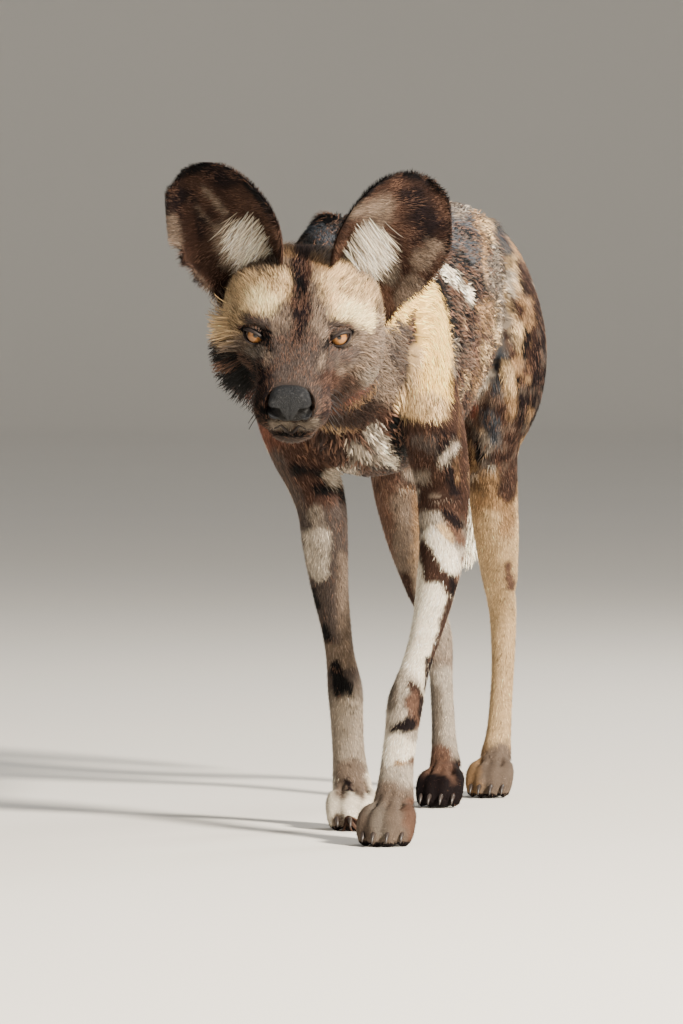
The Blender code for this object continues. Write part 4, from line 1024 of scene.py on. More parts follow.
def shape_body(points, normals):
    """Muscles and tendons under the short coat."""
    for sign, side in ((1, "left"), (-1, "right")):
        fore, hind = FORELEG_PATHS[side], HINDLEG_PATHS[side]
        shoulder = [Vector(fore[0]) + Vector((0.04 * sign, 0.03, 0)),
                    Vector(fore[2]) + Vector((0.03 * sign, 0.05, 0))]
        points = groove(points, normals, shoulder, 0.014, 0.0030)
        elbow = Vector(fore[5]) + Vector((0.004 * sign, 0.036, 0.004))
        points = press(points, elbow, 0.022, (0, 0.0030, 0))
        flank = [Vector((0.085 * sign, 0.36, 0.60)), Vector((0.075 * sign, 0.33, 0.48))]
        points = groove(points, normals, flank, 0.024, 0.0050)
        for way in (sign, -sign):
            hock = Vector(hind[8]) + Vector((0.012 * way, -0.002, 0.016))
            points = press(points, hock, 0.020, (-0.0026 * way, 0, 0))
        for k in range(5):
            y = 0.08 + 0.036 * k
            rib = [Vector((0.09 * sign, y - 0.01, 0.61)), Vector((0.09 * sign, y + 0.02, 0.50))]
            points = groove(points, normals, rib, 0.0075, 0.0012)
        tendon = [Vector(p) + Vector((0.015 * sign, 0, 0)) for p in fore[8:12]]
        points = groove(points, normals, tendon, 0.0040, 0.0010)
    return points


def split_toes(points, normals):
    """Cuts between the toes and sets the soles on one level."""
    for place in PAWS.values():
        for gap in (-0.014, 0.0, 0.014):
            gap, scale = gap * place[2], place[2]
            line = [paw_point(place, gap, 0.006, 0.052), paw_point(place, gap, 0.030 * scale, 0.036),
                    paw_point(place, gap, 0.056 * scale, 0.010)]
            points = groove(points, normals, line, 0.0030, 0.0048)
    points[:, 2] -= 0.0030 * np.exp(-((points[:, 2] / 0.010) ** 2))
    points[:, 2] = np.maximum(points[:, 2], 0.0004)
    return points


def refine(obj, chosen):
    """Splits the faces whose corners are chosen into four."""
    mesh = bmesh.new()
    mesh.from_mesh(obj.data)
    mesh.verts.ensure_lookup_table()
    edges = [e for e in mesh.edges if chosen[e.verts[0].index] and chosen[e.verts[1].index]]
    bmesh.ops.subdivide_edges(mesh, edges=edges, cuts=1, use_grid_fill=True)
    mesh.to_mesh(obj.data)
    mesh.free()


def ear_axes(name):
    """Base of an ear, its axis, the way outward and the way it opens."""
    sign, base, tilt = EARS[name]
    axis = HEAD_UP * math.cos(tilt) + HEAD_LEFT * (sign * math.sin(tilt)) - HEAD_FORWARD * 0.10
    axis.normalize()
    outward = HEAD_LEFT * (sign * math.cos(tilt)) - HEAD_UP * math.sin(tilt) - HEAD_FORWARD * 0.28
    outward = (outward - axis * outward.dot(axis)).normalized()
    opening = outward.cross(axis) * sign
    if opening.dot(HEAD_FORWARD) < 0:
        opening = -opening
    return on_head(base[0], base[1] * sign, base[2]), axis, outward, opening


def ear(name):
    """A cupped ear as a thin curved plate, with its folds and torn edge."""
    base, axis, outward, opening = ear_axes(name)
    rows = curve_through(EAR_ROWS, 5)
    across, along = EAR_CELLS
    shares = -0.22 + 1.22 * (1 - (1 - np.linspace(0, 1, along + 1)) ** 1.25)
    middle = np.zeros((along + 1, across + 1, 3))
    for i, share in enumerate(shares):
        half = np.interp(share, rows[:, 0], rows[:, 1]) - 0.0006
        depth = np.interp(share, rows[:, 0], rows[:, 2])
        for k in range(across + 1):
            u = -math.cos(math.pi * (0.08 + 0.84 * k / across)) / math.cos(math.pi * 0.08)
            lift = depth * (1 - abs(u) ** 2.2)
            bow = 0.010 * math.sin(math.pi * max(share, 0.0))
            ridge = 0.0016 * math.exp(-(((u + 0.45 - 0.25 * share) / 0.10) ** 2)) * ease(0.85, 0.2, share)
            wave = 0.0008 * math.sin(9 * share + 5 * u) * max(share, 0)
            wide = half * (1 + (EAR_INNER[name] * math.sin(math.pi * min(max(share, 0), 1)) if u < 0 else 0))
            spot = base + axis * (EAR_LENGTH * share * 0.996) + outward * (wide * u)
            middle[i, k] = spot + opening * (0.012 + bow - lift + ridge + wave)
            if name == "ear_right":
                for up, aside, reach, deep in EAR_NOTCHES:
                    away = ((share - up) * EAR_LENGTH / (reach * 1.6)) ** 2
                    away += ((u - aside) * half / reach) ** 2
                    inward = np.array(axis * -0.75 - outward * 0.65 if up > 0.8 else -outward)
                    middle[i, k] += inward * (deep * math.exp(-away))
    normal = unit(np.cross(np.gradient(middle, axis=1), np.gradient(middle, axis=0)))
    u = np.abs(np.linspace(-1, 1, across + 1))[None, :, None]
    v = np.clip(shares, 0, 1)[:, None, None]
    rim = np.clip(np.maximum(u, v) ** 6, 0, 1)
    thick = normal * (0.5 * (EAR_THICK * (1 - rim) + EAR_RIM_THICK * rim))
    wide = across + 1
    faces, count = [], (along + 1) * wide
    for i in range(along):
        for k in range(across):
            a, b, c, d = i * wide + k, i * wide + k + 1, (i + 1) * wide + k + 1, (i + 1) * wide + k
            faces.append((a, b, c, d))
            faces.append((count + d, count + c, count + b, count + a))
    loop = list(range(across))
    loop += [i * wide + across for i in range(along)]
    loop += [along * wide + k for k in range(across, 0, -1)]
    loop += [i * wide for i in range(along, 0, -1)]
    faces += [(a, count + a, count + b, b) for a, b in zip(loop, loop[1:] + loop[:1])]
    clay = Clay()
    clay.add(np.vstack([(middle + thick).reshape(-1, 3), (middle - thick).reshape(-1, 3)]), faces)
    return clay.as_object(name + "_plate")


def smooth_bands(skin, name, places, chosen, bands, times):
    """Smooths the chosen points, those of each band by its own weight."""
    group = skin.vertex_groups.new(name=name)
    for low, high, weight in bands:
        mine = np.nonzero(chosen & (places > low) & (places <= high))[0]
        group.add([int(i) for i in mine], weight, "REPLACE")
    modify(skin, "SMOOTH", iterations=times, factor=0.5, vertex_group=name)
    skin.vertex_groups.clear()


def make_skin(coat):
    """One skin over the whole dog, fine at the head."""
    skin = dog_clay().as_object("skin")
    modify(skin, "REMESH", mode="VOXEL", voxel_size=coat.mesh_size)
    modify(skin, "SMOOTH", iterations=8, factor=0.5)
    points = points_of(skin)
    smooth_bands(skin, "skull", head_places(points)[:, 0], points[:, 2] > 0.38, SKULL_BANDS, 10)
    chosen = (points[:, 1] > TRUNK_SPAN[0]) & (points[:, 1] < TRUNK_SPAN[1])
    smooth_bands(skin, "trunk", points[:, 2], chosen, TRUNK_BANDS, 45)
    points = points_of(skin)
    refine(skin, (head_places(points)[:, 0] > FINE_HEAD) & (points[:, 1] < -0.25))
    points = points_of(skin)
    near = np.zeros(len(points), bool)
    for sign in (-1, 1):
        a, b, c = eye_places(points, sign).T
        near |= (np.hypot(a, b) < FINE_EYES) & (c > -0.012) & (c < 0.04)
    refine(skin, near)
    set_points(skin, shape_body(points_of(skin), normals_of(skin)))
    set_points(skin, shape_head(points_of(skin), normals_of(skin)))
    set_points(skin, shape_eyes(points_of(skin)))
    refine(skin, points_of(skin)[:, 2] < FINE_PAWS)
    set_points(skin, split_toes(points_of(skin), normals_of(skin)))
    plates = []
    for name in EARS:
        plate = ear(name)
        plates.append(BVHTree.FromObject(plate, bpy.context.evaluated_depsgraph_get()))
        modify(skin, "BOOLEAN", operation="UNION", solver="MANIFOLD", object=plate)
        bpy.data.objects.remove(plate)
    return skin, plates


@functools.lru_cache(maxsize=1)
def bones():
    """Stations along every part: place, way of the coat, cross axes, reaches, number, share and length."""
    rows = []
    for name in PARTS[: PARTS.index("ear_left")]:
        path, sizes, up, _ = long_forms()[name]
        fine = curve_through(np.hstack([np.array(path, float), np.array(sizes, float)]), 4)
        # The coat lies from the nose backwards
        if name in ("neck", "head"):
            fine = fine[::-1]
        along = unit(np.gradient(fine[:, :3], axis=0))
        high = unit(np.array(up) - along * (along @ np.array(up))[:, None])
        side = np.cross(along, high)
        number = np.full(len(fine), PARTS.index(name))
        share = np.linspace(0, 1, len(fine))
        length = np.linalg.norm(np.diff(fine[:, :3], axis=0), axis=1).sum()
        rows.append((fine[:, :3], along, side, high, fine[:, 3:], number, share, np.full(len(fine), length)))
    return [np.concatenate(column) for column in zip(*rows)]


def read_parts(points):
    """Part, share along it, turn round it and way of the coat for points of the withers frame."""
    place, along, side, high, reach, number, share, length = bones()
    part, shares = np.zeros(len(points), int), np.zeros(len(points))
    turn, lie, around = np.zeros(len(points)), np.zeros((len(points), 3)), np.zeros(len(points))
    for start in range(0, len(points), 8000):
        some = slice(start, start + 8000)
        offset = points[some, None, :] - place[None]
        x = np.einsum("ijk,jk->ij", offset, side)
        z = np.einsum("ijk,jk->ij", offset, high)
        w = np.einsum("ijk,jk->ij", offset, along)
        tall = np.where(z > 0, reach[:, 1], reach[:, 2])
        away = np.sqrt((x / reach[:, 0]) ** 2 + (z / tall) ** 2 + (w / reach.mean(axis=1)) ** 2)
        best = away.argmin(axis=1)
        rows = np.arange(len(best))
        weight = np.exp(-(((away - away[rows, best][:, None]) / 0.18) ** 2))
        lie[some] = weight @ along
        part[some] = number[best]
        shares[some] = share[best] + w[rows, best] / length[best]
        turn[some] = np.arctan2(x[rows, best], z[rows, best]) / (2 * math.pi) + 0.5
        around[some] = np.hypot(x[rows, best], z[rows, best])
    return part, np.clip(shares, 0, 1), turn, unit(lie), around


def camera_axes():
    """The camera's place in the withers frame, the way back to it from the dog, and its right."""
    back = np.array((math.sin(CAMERA_TURN), -math.cos(CAMERA_TURN), 0.0))
    right = np.array((math.cos(CAMERA_TURN), math.sin(CAMERA_TURN), 0.0))
    return back * CAMERA_DISTANCE - right * CAMERA_ASIDE + np.array((0, 0, CAMERA_HEIGHT)), back, right


def photo_places(points):
    """Where points of the withers frame fall in the photograph, and the way to its camera."""
    camera, back, right = camera_axes()
    offset = points - camera
    depth = -(offset @ back)
    across = PICTURE_MIDDLE[0] + FOCAL_PIXELS * (offset @ right) / depth
    down = PICTURE_MIDDLE[1] - FOCAL_PIXELS * offset[:, 2] / depth
    return np.stack([across, down], axis=1), unit(-offset)


def ear_places(points, name):
    """Share up an ear, place across it from -1 to 1, and depth along its opening."""
    base, axis, outward, opening = ear_axes(name)
    offset = points - np.array(base)
    share = offset @ np.array(axis) / EAR_LENGTH
    rows = np.array(EAR_ROWS)
    half = np.interp(share, rows[:, 0], rows[:, 1])
    return share, offset @ np.array(outward) / half, offset @ np.array(opening)


def palette():
    chosen = bpy.context.scene.wild_dog_colours
    return {name: np.array(getattr(chosen, name)) for name in WildDogColours.__annotations__}


def in_parts(part, *names):
    """Which points belong to the named parts."""
    return np.isin(part, [PARTS.index(name) for name in names])


def blend_in(colours, tone_, mask):
    return colours + (tone_ - colours) * np.clip(mask, 0, 1)[:, None]


def layered(colours, *layers):
    """The colours under layers, each a tone and its mask."""
    for tone_, mask in layers:
        colours = blend_in(colours, tone_, mask)
    return colours


def patchwork(points, colours, tones, seed):
    """Random black, tan and white blotches over the given base."""
    bend = np.stack([noise(points, 0.05, seed + k) for k in range(3)], axis=1) - 0.5
    spots = points + bend * 0.045
    first = noise(spots, 0.075, seed + 5) * 0.65 + noise(spots, 0.030, seed + 6) * 0.35
    second = noise(spots, 0.060, seed + 7) * 0.6 + noise(spots, 0.024, seed + 8) * 0.4
    third = noise(spots, 0.050, seed + 9) * 0.55 + noise(spots, 0.018, seed + 10) * 0.45
    return layered(
        colours,
        (tones["tan"], ease(0.50, 0.56, first)),
        (tones["cream"], ease(0.62, 0.67, first)),
        (tones["slate"], ease(0.58, 0.64, third) * 0.8),
        (tones["black"], ease(0.57, 0.61, second)),
        (tones["white"], ease(0.68, 0.71, third) * ease(0.45, 0.40, second)),
    )


def stroke_mask(places, stroke, wobble):
    """How far each place lies inside a tapered stroke."""
    x1, y1, r1, x2, y2, r2, soft = stroke
    start, run = np.array((x1, y1)), np.array((x2 - x1, y2 - y1), float)
    t = np.clip((places - start) @ run / max(run @ run, 1e-6), 0, 1)
    away = np.linalg.norm(places - start - t[:, None] * run, axis=1) - (r1 + (r2 - r1) * t)
    return ease(soft, -soft * 0.6, away + wobble * (1.5 + 0.5 * soft))


def coat_colour(points, normals, part, share):
    """Colour of the coat for points of the withers frame: patches, then the photographed markings."""
    tones = palette()
    places, to_camera = photo_places(points)
    facing = np.einsum("ij,ij->i", normals, to_camera)
    seen = ease(-0.20, 0.10, facing)
    wobble = (noise(points, 0.013, 3) - 0.5) * 1.6 + (noise(points, 0.0045, 4) - 0.5) * 0.9
    colours = np.tile(tones["umber"], (len(points), 1))
    trunk = in_parts(part, "torso", "neck")
    tail = in_parts(part, "tail")
    limb = np.zeros(len(points), bool)
    for name, stops in PART_STOPS.items():
        mine = in_parts(part, name)
        stations = [s for s, _ in stops]
        for axis in range(3):
            colours[mine, axis] = np.interp(share[mine], stations, [tones[t][axis] for _, t in stops])
        limb |= mine
    upper = limb & (share < np.where(tail, 0.0, 0.36))
    mixed = patchwork(points, colours.copy(), tones, 11)
    belly = (trunk | upper) & (normals[:, 2] < -0.5)
    mixed[belly] = blend_in(mixed[belly], tones["umber"], np.full(belly.sum(), 0.55))
    throat = trunk * ease(-0.19, -0.23, points[:, 1]) * ease(0.53, 0.49, points[:, 2])
    mixed = blend_in(mixed, tones["red_brown"] * 0.8, throat)
    colours[trunk | upper] = mixed[trunk | upper]
    lower = limb & ~upper & ~tail
    spots = noise(points, 0.034, 41) * 0.6 + noise(points, 0.014, 42) * 0.4
    dark = ease(0.62, 0.66, spots) * (1 - seen) * ease(0.36, 0.45, share)
    colours[lower] = blend_in(colours[lower], tones["black_brown"], dark[lower])
    head = in_parts(part, "head")
    colours[head] = head_base(points[head], tones)
    back = np.zeros(len(points), bool)
    for name in EAR_MARKS:
        mine = in_parts(part, name)
        colours[mine] = ear_base(points[mine], normals[mine], name, tones)
        back |= mine & (normals @ np.array(ear_axes(name)[3]) < 0.1)
    groups = [(trunk | upper, BACK_MARKS), (trunk | upper | head, TRUNK_MARKS)]
    groups += [(head | (trunk & (points[:, 1] < -0.22)), HEAD_MARKS)]
    groups += [(in_parts(part, name), marks) for name, marks in LEG_MARKS.items()]
    groups += [(in_parts(part, name) & ~back, marks) for name, marks in EAR_MARKS.items()]
    for mine, marks in groups:
        index = np.nonzero(mine & (seen > 0))[0]
        some, warp, view = places[index], wobble[index], seen[index]
        found = colours[index]
        for name, *stroke in marks:
            found = blend_in(found, tones[name], stroke_mask(some, stroke, warp) * view)
        colours[index] = found
    behind = (trunk | upper) * ease(0.02, 0.10, points[:, 1])
    fine = noise(points * (1.0, 0.55, 0.8), 0.0085, 71) * 0.7 + noise(points, 0.004, 72) * 0.3
    colours = layered(
        colours,
        (tones["black_brown"], behind * ease(0.54, 0.64, fine) * 0.60),
        (tones["ash_tan"], behind * ease(0.44, 0.34, fine) * 0.35),
    )
    colours *= (0.80 + 0.26 * noise(points, 0.010, 61) + 0.16 * noise(points, 0.0035, 62))[:, None]
    soles = (points[:, 2] < 0.006) & (normals[:, 2] < -0.3)
    colours[soles] = tones["black_brown"]
    return colours


def head_base(points, tones):
    """The face under its markings, by the head's own axes."""
    f, left, up = head_places(points).T
    soft = (noise(points, 0.012, 21) - 0.5) * 0.016
    nape = ease(-0.075, -0.095, f + soft) * ease(0.030, 0.016, np.abs(left))
    cheek = ease(-0.030, -0.046, up + soft) * ease(0.05, 0.02, f)
    throat = ease(-0.068, -0.080, up + soft) * ease(0.05, 0.03, f)
    stripe = ease(0.014, 0.009, np.abs(left) + soft * 0.4) * ease(0.004, -0.006, f) * (up > 0)
    return layered(
        np.tile(tones["ash_tan"], (len(points), 1)),
        (tones["tan"], ease(-0.070, -0.100, f + soft) * 0.8),
        (tones["black_brown"], nape),
        (tones["umber"], cheek * 0.9),
        (tones["grey_brown"] * 0.78, ease(0.010, 0.030, f + soft)),
        (tones["red_brown"], throat),
        (tones["umber"], stripe),
    )


def ear_base(points, normals, name, tones):
    """Chocolate inside with a black rim, and black brown behind with a tawny root."""
    share, u, _ = ear_places(points, name)
    opening = np.array(ear_axes(name)[3])
    soft = (noise(points, 0.010, 31) - 0.5) * 0.16
    colours = np.tile(tones["umber"], (len(points), 1))
    colours = blend_in(colours, tones["brown"], ease(0.45, 0.60, noise(points, 0.016, 32)) * 0.30) * 0.72
    rim = ease(0.86, 0.98, np.abs(u) + soft * 0.25) * ease(0.35, 0.6, share)
    rim = np.maximum(rim, ease(0.90, 0.97, share + soft * 0.2))
    colours = blend_in(colours, tones["black"], rim * 0.95)
    behind = ease(0.15, -0.05, normals @ opening)
    rear = layered(
        np.tile(tones["black_brown"], (len(points), 1)),
        (tones["brown"], ease(0.40, 0.10, share + soft) * 0.7),
        (tones["tan"], ease(0.18, -0.02, share + soft) * 0.7),
    )
    return colours + (rear - colours) * behind[:, None]


@functools.lru_cache(maxsize=1)
def dog_ground():
    """Everything that the coat needs to know of the skin, corner by corner, in the withers frame."""
    skin = bpy.data.objects["skin"]
    points = points_of(skin) + ORIGIN
    normals = unit(normals_of(skin))
    found = {"points": points, "normals": normals}
    for key in ("part", "share", "turn", "around"):
        values = np.empty(len(points), np.float32)
        skin.data.attributes[key].data.foreach_get("value", values)
        found[key] = values.astype(float)
    found["part"] = found["part"].round().astype(int)
    lie = np.empty(len(points) * 3, np.float32)
    skin.data.attributes["lie"].data.foreach_get("vector", lie)
    found["lie"] = lie.reshape(-1, 3).astype(float)
    skin.data.calc_loop_triangles()
    corners = np.empty(len(skin.data.loop_triangles) * 3, np.int32)
    skin.data.loop_triangles.foreach_get("vertices", corners)
    found["corners"] = corners.reshape(-1, 3)
    a, b, c = (points[found["corners"][:, k]] for k in range(3))
    found["areas"] = 0.5 * np.linalg.norm(np.cross(b - a, c - a), axis=1)
    return found


def add_attribute(mesh, name, kind, key, values):
    layer = mesh.attributes.new(name, kind, "POINT")
    layer.data.foreach_set(key, np.asarray(values, np.float32).ravel())


def coat_way(points, normals, part, lie):
    """The way the hair lies, laid flat on the skin."""
    flow = lie.copy()
    flow[in_parts(part, "torso", "neck")] += np.array((0, 0, -0.32))
    f, left, up = head_places(points).T
    head = in_parts(part, "head")
    rise = np.where(up < -0.02, -0.5, 0.1)
    spread = np.outer(left, np.array(HEAD_LEFT)) * 9 + np.outer(rise, np.array(HEAD_UP))
    flow[head] += (spread * ease(0.03, -0.02, f)[:, None])[head]
    for name in EARS:
        mine = in_parts(part, name)
        base, axis, outward, opening = ear_axes(name)
        share, u, _ = ear_places(points, name)
        near = ease(0.065, 0.040, np.linalg.norm(points - np.array(base), axis=1))[:, None]
        flow[head] += (np.array(axis) * near * 1.6)[head]
        front = (normals @ np.array(opening) > 0.0)[:, None]
        tip = np.array(axis) + np.outer(u, np.array(outward)) * 0.8
        inner = np.array(outward) * 0.9 + np.array(axis) * (share[:, None] * 1.4 - 0.4)
        flow[mine] = np.where(front, inner, tip)[mine]
    swirl = np.stack([noise(points, 0.030, 51 + k) for k in range(3)], axis=1) - 0.5
    flow = unit(flow) + swirl * 0.55
    return unit(flow - normals * np.einsum("ij,ij->i", flow, normals)[:, None])


def dress_skin(skin, plates):
    """Writes the parts, the lie and the colours of the coat on the skin."""
    points, normals = points_of(skin), unit(normals_of(skin))
    part, share, turn, lie, around = read_parts(points)
    near = np.nonzero((points[:, 2] > 0.5) & (points[:, 1] < -0.15))[0]
    for name, plate in zip(EARS, plates):
        for i in near:
            if plate.find_nearest(Vector(points[i]), 0.0003)[0] is not None:
                part[i] = PARTS.index(name)
        mine = in_parts(part, name)
        up, u, _ = ear_places(points, name)
        behind = normals @ np.array(ear_axes(name)[3]) < 0
        share[mine] = np.clip(up, 0, 1)[mine]
        turn[mine] = (0.25 + 0.24 * np.clip(u, -1, 1) + 0.5 * behind)[mine]
        around[mine] = 0.02
    way = coat_way(points, normals, part, lie)
    # The skin's colour is drawn darker by painted shade from the tufts that cover it
    colours = coat_colour(points, normals, part, share) * SKIN_SHADE
    mesh = skin.data
    for key, values in (("part", part), ("share", share), ("turn", turn), ("around", around)):
        add_attribute(mesh, key, "FLOAT", "value", values)
    add_attribute(mesh, "lie", "FLOAT_VECTOR", "vector", way)
    grain = np.stack([np.einsum("ij,ij->i", points, way), turn * around * 6.28, part * 0.7], axis=1)
    add_attribute(mesh, "grain", "FLOAT_VECTOR", "vector", grain)
    add_attribute(mesh, "coat", "FLOAT_COLOR", "color", np.hstack([colours, np.ones((len(points), 1))]))


def scatter(parts, count, seed, weight=None):
    """Roots spread over the skin of some parts, more of them where the weight is larger."""
    ground = dog_ground()
    rng = np.random.default_rng(seed)
    corners = ground["corners"]
    chance = ground["areas"] * in_parts(ground["part"][corners[:, 0]], *parts)
    middles = ground["points"][corners].mean(axis=1)
    faces = unit(ground["normals"][corners].mean(axis=1))
    chance = chance * bare(middles, faces)
    if weight is not None:
        chance = chance * weight(middles, faces, ground["share"][corners[:, 0]])
    total = np.cumsum(chance)
    picks = (np.arange(count) + rng.random(count)) / count * total[-1]
    chosen = np.minimum(np.searchsorted(total, picks), len(corners) - 1)
    first, second = rng.random(count), rng.random(count)
    flip = first + second > 1
    first[flip], second[flip] = 1 - first[flip], 1 - second[flip]
    weights = np.stack([1 - first - second, first, second], axis=1)
    found = {}
    for key in ("points", "normals", "lie"):
        found[key] = np.einsum("ij,ijk->ik", weights, ground[key][corners[chosen]])
    for key in ("part", "share", "turn", "around"):
        found[key] = ground[key][corners[chosen, 0]]
    found["normals"] = unit(found["normals"])
    flat = found["lie"] - found["normals"] * np.einsum("ij,ij->i", found["lie"], found["normals"])[:, None]
    found["lie"] = unit(flat)
    found["rng"] = rng
    return found


def bare(points, normals):
    """1 where hair grows, 0 on the nose, in the eyes, on the line of the mouth and under the paws."""
    grows = np.ones(len(points))
    f, left, up = head_places(points).T
    nose = ((f - NOSE[0]) / (NOSE[3] + 0.0015)) ** 2 + (left / (NOSE[4] + 0.001)) ** 2
    nose += ((up - NOSE[2]) / (NOSE[5] + 0.001)) ** 2
    grows[nose < 1.0] = 0
    for sign in (-1, 1):
        a, b, c = eye_places(points, sign).T
        share = np.clip(a / (LID_HALF_WIDTH + 0.0016), -1, 1)
        inside = (b < lid_line(share, True) + 0.0016) & (b > lid_line(share, False) - 0.0014)
        grows[inside & (np.abs(a) < LID_HALF_WIDTH + 0.0016) & (c > -0.01) & (c < 0.03)] = 0
    grows[along_path(points, mouth_path())[0] < 0.0026] = 0
    grows[(points[:, 2] < 0.0045) & (normals[:, 2] < -0.1)] = 0
    return grows


def blades(name, roots, length, width, lift, bands=2, soft=0.58, vary=0.22, tip_highlight=1.22, root_shade=0.62,
           grizzle=0.0):
    """One joined mesh of thin closed tapered blades that bend over and lie along the coat."""
    rng, count = roots["rng"], len(roots["points"])
    length = np.broadcast_to(length, count) * rng.uniform(0.75, 1.25, count)
    width = np.broadcast_to(width, count) * rng.uniform(0.8, 1.2, count)
    lift = np.broadcast_to(lift, count) * rng.uniform(0.6, 1.5, count)
    normal, way = roots["normals"], roots["lie"]
    aside = np.cross(normal, way)
    yaw = rng.normal(0, 0.20, count)[:, None]
    way = unit(way * np.cos(yaw) + aside * np.sin(yaw))
    aside = np.cross(normal, way)
    curl = rng.normal(0, 0.10, count)[:, None]
    # Painted shade darkens each tuft towards its root, and painted light brightens its tip
    rings, shades = [], []
    for band in range(bands + 1):
        s = band / bands
        rise = -TUFT_SINK + (lift + TUFT_SINK) * (1 - (1 - s) ** 2)
        middle = roots["points"] + way * (length * s)[:, None] + normal * rise[:, None]
        middle = middle + aside * curl * (length * s**2)[:, None]
        if band == bands:
            rings.append(middle[:, None, :])
            shades.append(np.full((count, 1), tip_highlight))
            continue
        taper = 0.8 if band == 0 and bands > 1 else 1.0 - 0.45 * max(s - 1 / bands, 0)
        half = (0.5 * width * taper)[:, None]
        ridge = normal * (width * TUFT_THICK)[:, None]
        rings.append(np.stack([middle - aside * half, middle + aside * half, middle + ridge], axis=1))
        shades.append(np.full((count, 3), root_shade + (1.0 - root_shade) * min(1.0, 1.6 * s)))
    points = np.concatenate(rings, axis=1)
    shade = np.concatenate(shades, axis=1)
    per = points.shape[1]
    pattern = [(0, 2, 1)]
    for band in range(bands - 1):
        for k in range(3):
            a, b = 3 * band + k, 3 * band + (k + 1) % 3
            pattern += [(a, b, a + 3), (b, b + 3, a + 3)]
    last = 3 * (bands - 1)
    pattern += [(last + k, last + (k + 1) % 3, per - 1) for k in range(3)]
    faces = (np.arange(count)[:, None, None] * per + np.array(pattern)[None]).reshape(-1, 3)
    shown = roots["points"] + way * (length * 0.5)[:, None] + rng.normal(0, 0.0016, (count, 3))
    colours = coat_colour(shown, normal, roots["part"], roots["share"])
    if "tint" in roots:
        colours = colours + (roots["tint"] - colours) * roots["tinted"][:, None]
    odd = rng.random(count) * 0.5 + noise(roots["points"], 0.008, 71) * 0.5
    odd = odd < grizzle * np.where(colours.mean(axis=1) > 0.42, 0.62, 1.0)
    other = np.where((colours.mean(axis=1) > 0.07)[:, None], palette()["black_brown"], palette()["brown"])
    colours = np.where(odd[:, None], colours * 0.30 + other * 0.70, colours)
    bright = np.exp(rng.normal(0, vary, count))
    warm = rng.normal(0, 0.035, count)[:, None] * np.array((1.0, 0.1, -1.0))
    colours = np.clip(colours * bright[:, None] * (1 + warm), 0.004, 0.95)
    # Each tuft's colour times its painted shade and light along it
    colours = colours[:, None, :] * shade[..., None]
    low, high = np.array(CAD_BOX[0]) + ORIGIN, np.array(CAD_BOX[1]) + ORIGIN
    points = np.clip(points, low + 0.0002, high - 0.0002)
    patch = np.zeros((per, 2))
    for band in range(bands):
        patch[3 * band : 3 * band + 3] = [(0, band / bands), (1, band / bands), (0.5, band / bands)]
    patch[-1] = (0.5, 1)
    uv = np.clip(root_map(roots), 0.002, 0.995)[:, None, :] + patch[None] * 0.003
    mesh = bpy.data.meshes.new(name)
    mesh.vertices.add(count * per)
    mesh.vertices.foreach_set("co", points.astype(np.float32).ravel())
    mesh.loops.add(len(faces) * 3)
    mesh.loops.foreach_set("vertex_index", faces.astype(np.int32).ravel())
    mesh.polygons.add(len(faces))
    mesh.polygons.foreach_set("loop_start", (np.arange(len(faces)) * 3).astype(np.int32))
    mesh.polygons.foreach_set("use_smooth", np.ones(len(faces), bool))
    mesh.update(calc_edges=True)
    layer = mesh.uv_layers.new(name="OFBake")
    layer.uv.foreach_set("vector", uv.reshape(-1, 2)[faces.ravel()].astype(np.float32).ravel())
    rgba = np.concatenate([colours, np.ones((count, per, 1))], axis=2)
    add_attribute(mesh, "coat", "FLOAT_COLOR", "color", rgba)
    own = np.empty(count * per * 3, np.float32)
    mesh.vertices.foreach_get("normal", own)
    mixed = unit(np.repeat(normal, per, axis=0) * soft + own.reshape(-1, 3) * (1 - soft))
    mesh.normals_split_custom_set_from_vertices(mixed.astype(np.float32))
    made = bpy.data.objects.new(name, mesh)
    bpy.context.scene.collection.objects.link(made)
    return made


def root_map(roots):
    """Places of the roots on an unwrap of each part as a tube, the parts side by side."""
    numbers = sorted(set(roots["part"].tolist()))
    spot = np.zeros((len(roots["points"]), 2))
    for k, number in enumerate(numbers):
        mine = roots["part"] == number
        spot[mine, 0] = (k + 0.01 + 0.98 * roots["turn"][mine]) / len(numbers)
        spot[mine, 1] = roots["share"][mine]
    return spot


class Wire:
    """One output of a node, to be used in plain sums."""

    def __init__(self, look, socket):
        self.look, self.socket = look, socket

    def sum(self, operation, first, second):
        return self.look.node("ShaderNodeMath", {"operation": operation}, {0: first, 1: second})

    def __add__(self, other):
        return self.sum("ADD", self, other)

    def __sub__(self, other):
        return self.sum("SUBTRACT", self, other)

    def __rsub__(self, other):
        return self.sum("SUBTRACT", other, self)

    def __mul__(self, other):
        return self.sum("MULTIPLY", self, other)

    def __truediv__(self, other):
        return self.sum("DIVIDE", self, other)

    def __rtruediv__(self, other):
        return self.sum("DIVIDE", other, self)

    def __pow__(self, other):
        return self.sum("POWER", self, other)

    __radd__ = __add__
    __rmul__ = __mul__


